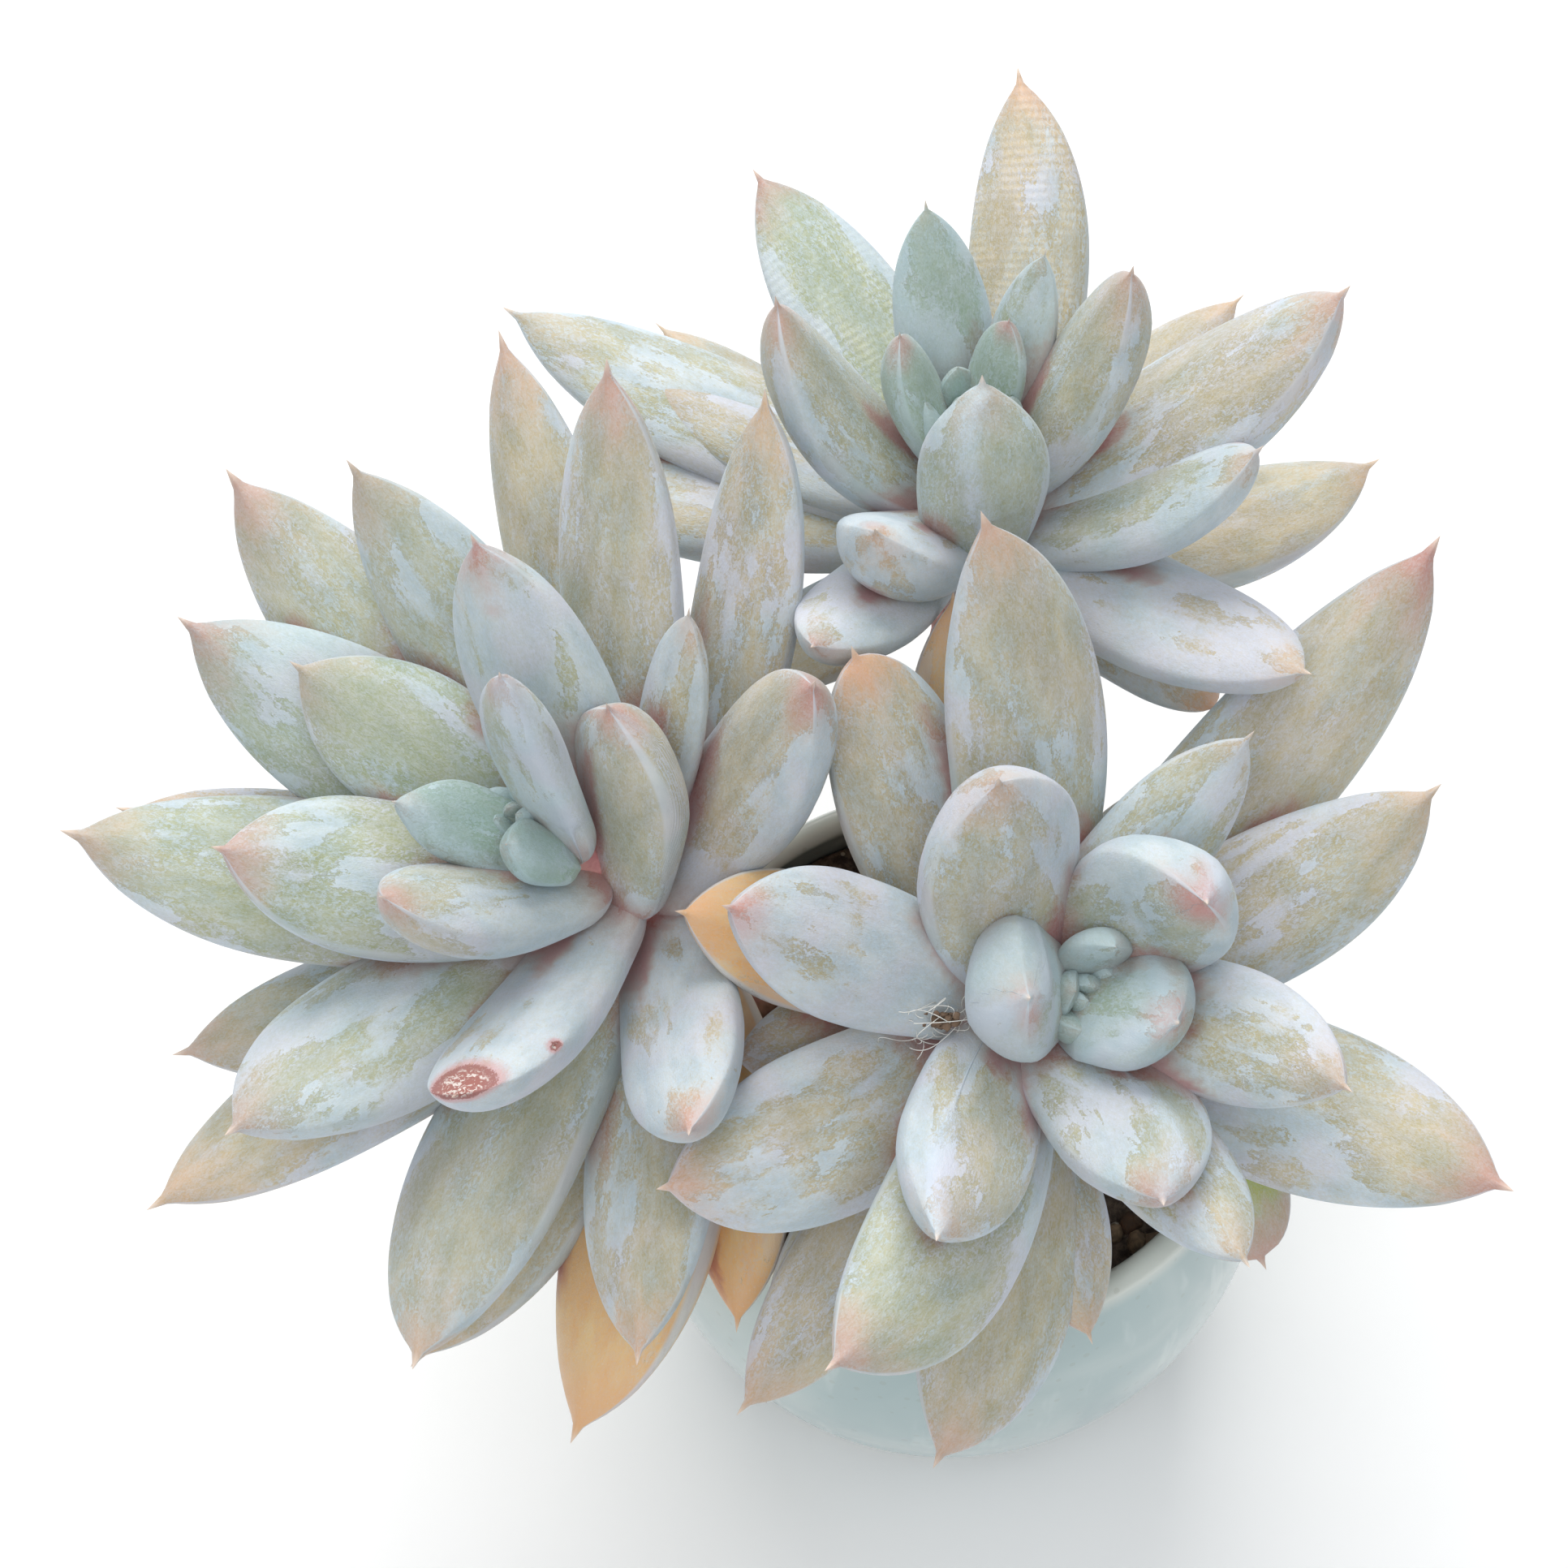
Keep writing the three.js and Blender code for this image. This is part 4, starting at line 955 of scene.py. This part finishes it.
zone = calc(bloom, "SUBTRACT", 1.0, zone)
flecks = calc(bloom, "MULTIPLY", ramp(bloom, zone, 0.0, 0.5), ramp(bloom, worms, 0.55, 0.49))
thin = calc(bloom, "MULTIPLY_ADD", flecks, -0.24, thin)
full = nudged(bloom, calc(bloom, "MULTIPLY_ADD", coast, 0.6, 0.56), grit, 0.45)
links = {"Value": thick, "To Min": thin, "To Max": full}
bloom.links.new(add_node(bloom, "ShaderNodeMapRange", links).outputs["Result"], bloom_out["Share"])
crisp = calc(bloom, "MULTIPLY", calc(bloom, "SUBTRACT", 1.0, smooth), ramp(bloom, worms, 0.45, 0.55))
for label, offset in (("Brink", 0.012), ("Crest", -0.016)):
    away = calc(bloom, "DIVIDE", calc(bloom, "ADD", level, offset), 0.012)
    near = calc(bloom, "MAXIMUM", calc(bloom, "SUBTRACT", 1.0, calc(bloom, "ABSOLUTE", away)), 0.0)
    bloom.links.new(calc(bloom, "MULTIPLY", near, crisp), bloom_out[label])
bloom.links.new(grit, bloom_out["Grit"])

frost, tree, shader = new_material("frosted_leaf")
read = {label: mark(tree, label) for label in ("along", "edge", "upper", "crevice_shade", "scar", "spot", "lime")}
for label, parts in (("tone", ("bloom_left", "warm", "green")), ("tip", ("blush", "red", "ribs")),
                     ("ridges", ("ridge_1", "ridge_2", "scratch"))):
    read.update(zip(parts, add_node(tree, "ShaderNodeSeparateXYZ", {0: mark(tree, label, "Vector")}).outputs))
grain = mark(tree, "grain", "Vector")
mottle = noise(tree, stretched(tree, grain, 0.4), 0.32, 4.0, 0.6)
grazing_sheen = add_node(tree, "ShaderNodeLayerWeight", {"Blend": 0.35}).outputs["Facing"]

# The skin under the bloom: sage, tan and then orange as a leaf ages, and blue-green in the heart.
sage = blended(tree, ramp(tree, mottle, 0.35, 0.65), srgb(146, 152, 88), srgb(168, 170, 108))
tan = blended(tree, ramp(tree, mottle, 0.35, 0.65), srgb(170, 152, 96), srgb(194, 174, 122))
skin = blended(tree, ramp(tree, read["warm"], 0.05, 0.6), sage, tan)
aged = blended(tree, ramp(tree, mottle, 0.35, 0.7), srgb(236, 178, 104), srgb(240, 200, 130))
skin = blended(tree, ramp(tree, read["warm"], 0.75, 0.95), skin, aged)
heart_green = blended(tree, ramp(tree, read["along"], 0.1, 0.8), srgb(146, 180, 146), srgb(146, 170, 158))
skin = blended(tree, read["green"], skin, heart_green)

# Toward the tip the skin blushes peach, pink or red. At the root it is the plant's own dull rose, and in
# crevices the same rose is partly its own colour and partly painted shade.
uneven = nudged(tree, read["along"], mottle, 0.2)
blush = blended(tree, ramp(tree, read["warm"], 0.3, 0.8), srgb(192, 150, 138), srgb(224, 176, 124))
blush = blended(tree, read["red"], blush, srgb(180, 106, 108))
tip = calc(tree, "MULTIPLY", ramp(tree, uneven, 0.8, 0.99), read["blush"])
skin = blended(tree, tip, skin, blush)
root = ramp(tree, uneven, 0.26, 0.04)
# Painted shade: where the plant stands close in front, the dull rose darkens the crevices.
crevice_shade = ramp(tree, nudged(tree, read["crevice_shade"], mottle, 0.25), 0.64, 1.0)
deep = lessened(tree, calc(tree, "MAXIMUM", root, crevice_shade), read["green"], 0.8)
skin = blended(tree, calc(tree, "MULTIPLY", deep, 0.85), skin, srgb(176, 100, 104))

# Bruises: pink spots near some tips, and one lime patch.
lime = ramp(tree, calc(tree, "MULTIPLY_ADD", mottle, 1.0, read["lime"]), 1.5, 0.8)
skin = blended(tree, lime, skin, srgb(190, 204, 60))
pink = ramp(tree, calc(tree, "MULTIPLY_ADD", mottle, 1.0, read["spot"]), 1.9, 0.6, 0.0, 0.6)
skin = blended(tree, pink, skin, srgb(204, 136, 128))

# The bloom: thick on the margins, partly real wax and partly a painted highlight along them, low on the leaf
# and along ridges, thin and rubbed through on the tip.
margin = calc(tree, "ABSOLUTE", read["edge"])
# Thicker wax toward the margins, partly a painted highlight on them.
rim = ramp(tree, margin, 0.6, 0.95, 0.0, 0.22)
low_down = ramp(tree, read["along"], 0.45, 0.2, 0.0, 0.2)
low_leaf = calc(tree, "MULTIPLY", low_down, ramp(tree, uneven, 0.03, 0.16, -1.5, 1.0))
bare_tip = ramp(tree, read["along"], 0.8, 1.0, 0.0, -0.22)
under = ramp(tree, read["upper"], 0.1, -0.5, 0.0, 0.12)
cover = calc(tree, "ADD", calc(tree, "ADD", rim, low_leaf), calc(tree, "ADD", bare_tip, under))
cover = calc(tree, "ADD", cover, read["bloom_left"])
wax = use_group(tree, bloom, {"Grain": grain, "Cover": cover})
folds = [ramp(tree, calc(tree, "ABSOLUTE", read[label]), 1.8, 0.0) for label in ("ridge_1", "ridge_2")]
fold = calc(tree, "MAXIMUM", *folds)
beside_line = ramp(tree, calc(tree, "ABSOLUTE", read["scratch"]), 2.4, 1.4)
comb = calc(tree, "SINE", calc(tree, "MULTIPLY", read["scratch"], 15.0))
comb = calc(tree, "MULTIPLY", ramp(tree, comb, 0.2, 0.9), beside_line)
lilac = noise(tree, grain, 0.09, 2.0)
wax_colour = blended(tree, ramp(tree, mottle, 0.3, 0.7), srgb(185, 201, 212), srgb(206, 217, 225))
wax_colour = blended(tree, ramp(tree, lilac, 0.42, 0.64, 0.0, 0.6), wax_colour, srgb(209, 207, 221))
wax_colour = blended(tree, calc(tree, "MULTIPLY", read["green"], 0.6), wax_colour, srgb(166, 194, 194))
share = calc(tree, "MULTIPLY", wax["Share"], ramp(tree, tip, 0.0, 1.0, 1.0, 0.45))
share = lessened(tree, share, calc(tree, "MAXIMUM", pink, lime), 0.5)
# Less wax at the root and in the crevices, so the rose shows there; in the crevices this is painted shade.
share = lessened(tree, share, deep, 0.7)
share = calc(tree, "MULTIPLY", share, ramp(tree, read["warm"], 0.8, 0.95, 1.0, 0.4))
# More wax toward grazing angles: a painted sheen that whitens the leaves' outlines.
share = calc(tree, "MULTIPLY_ADD", calc(tree, "POWER", grazing_sheen, 2.0), 0.3, share)
# A thin line of near-full wax on the margin's crease: partly real wax, partly a painted highlight on the
# crease.
share = calc(tree, "MAXIMUM", share, ramp(tree, margin, 0.93, 0.99, 0.0, 0.75))
on_fold = calc(tree, "MULTIPLY", fold, calc(tree, "MULTIPLY_ADD", mottle, 0.8, 0.1))
share = calc(tree, "MULTIPLY_ADD", on_fold, 0.8, share)
share = calc(tree, "MAXIMUM", share, calc(tree, "MULTIPLY", comb, 0.95))
colour = blended(tree, calc(tree, "MINIMUM", calc(tree, "MAXIMUM", share, 0.0), 1.0), skin, wax_colour)
colour = blended(tree, calc(tree, "MULTIPLY", wax["Brink"], 0.5), colour, srgb(138, 128, 98))
colour = blended(tree, calc(tree, "MULTIPLY", wax["Crest"], 0.4), colour, srgb(216, 224, 230))
colour = blended(tree, ramp(tree, wax["Grit"], 0.6, 0.85, 0.0, 0.2), colour, srgb(216, 220, 224))
motes = use_group(tree, dust, {"Vector": grain, "Per unit": 2.2, "Amount": 0.12})["Specks"]
colour = blended(tree, motes, colour, srgb(226, 230, 234))

# Dry scars: a flaky red-brown middle in a darker ring, with a pink halo, and pale flakes in the middle that
# are partly a painted glint. The nib pales to cream at its end.
ragged = nudged(tree, read["scar"], wax["Grit"], 0.5)
colour = blended(tree, ramp(tree, ragged, 1.9, 1.05, 0.0, 0.6), colour, srgb(204, 140, 138))
colour = blended(tree, ramp(tree, ragged, 1.1, 0.95, 0.0, 0.8), colour, srgb(142, 84, 76))
colour = blended(tree, ramp(tree, ragged, 0.85, 0.5), colour, srgb(160, 104, 96))
# Pale flakes in the scar's middle: partly dry flakes, partly a painted glint on the glassy scar.
flakes = ramp(tree, noise(tree, grain, 1.5, 3.0, 0.6, 1.0), 0.5, 0.58)
flakes = calc(tree, "MULTIPLY", ramp(tree, ragged, 0.9, 0.6), flakes)
colour = blended(tree, flakes, colour, srgb(222, 210, 204))
spike = ramp(tree, read["along"], 0.965, 0.995)
colour = blended(tree, calc(tree, "MULTIPLY", spike, 0.7), colour, srgb(230, 210, 194))
tree.links.new(colour, shader.inputs["Base Color"])
tree.links.new(ramp(tree, share, 0.2, 0.9, 0.46, 0.78), shader.inputs["Roughness"])

# Relief: the wax stands a little proud of the skin, the comb and the folds more, and ribs cross the ribbed
# leaves.
length_along = add_node(tree, "ShaderNodeSeparateXYZ", {0: grain}).outputs[2]
ripple = calc(tree, "MULTIPLY_ADD", mottle, 5.0, calc(tree, "MULTIPLY", length_along, 6.0))
ripple = calc(tree, "MULTIPLY", calc(tree, "SINE", ripple), read["ribs"])
relief = calc(tree, "MULTIPLY_ADD", share, 0.6, calc(tree, "MULTIPLY", wax["Grit"], 0.6))
relief = calc(tree, "MULTIPLY_ADD", mottle, 3.0, relief)
relief = calc(tree, "MULTIPLY_ADD", comb, 0.8, relief)
relief = calc(tree, "MULTIPLY_ADD", fold, 2.0, relief)
relief = calc(tree, "MULTIPLY_ADD", ripple, ramp(tree, mottle, 0.4, 0.6, 0.05, 0.3), relief)
make_uneven(tree, shader, relief, 0.5, 0.14)
shader.inputs["Sheen Weight"].default_value = 0.1
shader.inputs["Sheen Roughness"].default_value = 0.4
shader.inputs["Subsurface Weight"].default_value = 0.07
shader.inputs["Subsurface Radius"].default_value = (1.0, 0.7, 0.45)
shader.inputs["Subsurface Scale"].default_value = 2.5 * MM

crown_material, tree, shader = new_material("crown_flesh")
place = own_place(tree)
streak = noise(tree, place, 600.0, 3.0)
colour = blended(tree, ramp(tree, streak, 0.3, 0.7), srgb(196, 132, 134), srgb(218, 164, 158))
tree.links.new(colour, shader.inputs["Base Color"])
make_uneven(tree, shader, streak, 0.4, 0.2)
shader.inputs["Roughness"].default_value = 0.6


def crown_rings(side):
    """The crown's core: a round section with small ripples, whose radius falls evenly from the stem's to the
    tip's up the rosette's axis. Its top half leans over until its end stands under the heart."""
    reach = ROSETTE_AXES[side]["crown"] + CROWN_BELOW
    share = np.linspace(0, 1, 24)[:, None]
    turn = np.linspace(0, 2 * np.pi, 32, endpoint=False)[None]
    ripple = 0.15 * np.sin(14 * share) * np.sin(5 * turn)
    radius = STEM_RADIUS + (CROWN_TIP_RADIUS - STEM_RADIUS) * share + ripple
    z = reach * share - CROWN_BELOW + 0 * turn
    over = np.clip(2 * share - 1, 0, 1)
    x, y = (radius * wave(turn) + over * move for wave, move in zip((np.cos, np.sin), HEART_SHIFT[side]))
    return set_on_axis(np.stack([x, y, z], axis=-1), side)[None]


for number, side in enumerate(ROSETTE_AXES):
    leaf_shape, roots, tips, marks = rosette_leaves(side, LEAF_SEED + number)
    leaves = skins(f"leaves_{side}", leaf_shape, roots, tips, marks, frost)
    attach(leaves, "root")
    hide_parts(f"rosette_{side}")
    core = crown_rings(side)
    low_end, high_end = core[:, 0].mean(axis=1), core[:, -1].mean(axis=1)
    crown = skins(f"crown_{side}", core, low_end, high_end, {}, crown_material)
    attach(crown, "root")


# Litter: a few pale spider threads and dry brown crumbs of dead leaf, caught beside the heart of the right
# rosette. Only their own tangle holds them to the leaves.
LITTER_PLACE = np.array([-3.6, -14.2, 92.4])
THREADS = 14
THREAD_RADIUS = 0.05
THREAD_SEED = 5
CRUMBS = 26
CRUMB_SEED = 6


def thread_rings(count, seed):
    """Tubes round threads. Each thread runs 4 to 9 mm through the litter's middle in a random direction,
    mostly across and up, and wanders off its line by 1.1 sin(a s + b) mm along each axis, with s its share
    of the way."""
    draw = np.random.default_rng(seed)
    s = np.linspace(-0.5, 0.5, 28)[None, :, None]
    way = draw.normal(size=(count, 1, 3)) * (1.0, 0.35, 0.8)
    way /= np.linalg.norm(way, axis=-1, keepdims=True)
    middle = LITTER_PLACE + draw.normal(size=(count, 1, 3)) * (1.6, 0.4, 1.4)
    line = middle + way * s * draw.uniform(4, 9, (count, 1, 1))
    line = line + 1.1 * np.sin(draw.uniform(4, 11, (count, 1, 3)) * s + draw.uniform(0, 6.3, (count, 1, 3)))
    across = np.cross(way, (0.0, 0.0, 1.0))
    across /= np.linalg.norm(across, axis=-1, keepdims=True)
    turn = np.linspace(0, 2 * np.pi, 5, endpoint=False)[:, None]
    circle = np.cos(turn) * across[:, :, None] + np.sin(turn) * np.cross(way, across)[:, :, None]
    return line[:, :, None] + THREAD_RADIUS * circle


def crumb_rings(count, seed):
    """Ragged flakes about 0.5 to 1.4 mm wide: balls of six rings, each point's radius changed by up to a
    third, then flattened to 0.4 and tilted about X."""
    draw = np.random.default_rng(seed)
    up = np.linspace(0.1, np.pi - 0.1, 6)[None, :, None]
    turn = np.linspace(0, 2 * np.pi, 8, endpoint=False)[None, None]
    radius = draw.uniform(0.25, 0.7, (count, 1, 1)) * draw.uniform(0.65, 1.3, (count, 6, 8))
    x, y = radius * np.sin(up) * np.cos(turn), radius * np.sin(up) * np.sin(turn)
    z = 0.4 * radius * np.cos(up)
    tilt = draw.uniform(0, 3.1, (count, 1, 1))
    y, z = y * np.cos(tilt) - z * np.sin(tilt), y * np.sin(tilt) + z * np.cos(tilt)
    middle = LITTER_PLACE + draw.normal(size=(count, 3)) * (1.3, 0.35, 1.1)
    return np.stack([x, y, z], axis=-1) + middle[:, None, None]


thread_colours = (srgb(222, 220, 212), srgb(238, 238, 234))
crumb_colours = (srgb(96, 74, 60), srgb(146, 122, 100))
for name, rings, colours in (("threads", thread_rings(THREADS, THREAD_SEED), thread_colours),
                             ("crumbs", crumb_rings(CRUMBS, CRUMB_SEED), crumb_colours)):
    litter, tree, shader = new_material(f"litter_{name}")
    blotch = noise(tree, own_place(tree), 900.0, 2.0)
    tree.links.new(blended(tree, blotch, *colours), shader.inputs["Base Color"])
    shader.inputs["Roughness"].default_value = 0.8
    piece = skins(f"litter_{name}", rings, rings[:, 0].mean(axis=1), rings[:, -1].mean(axis=1), {}, litter)
    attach(piece, "root")
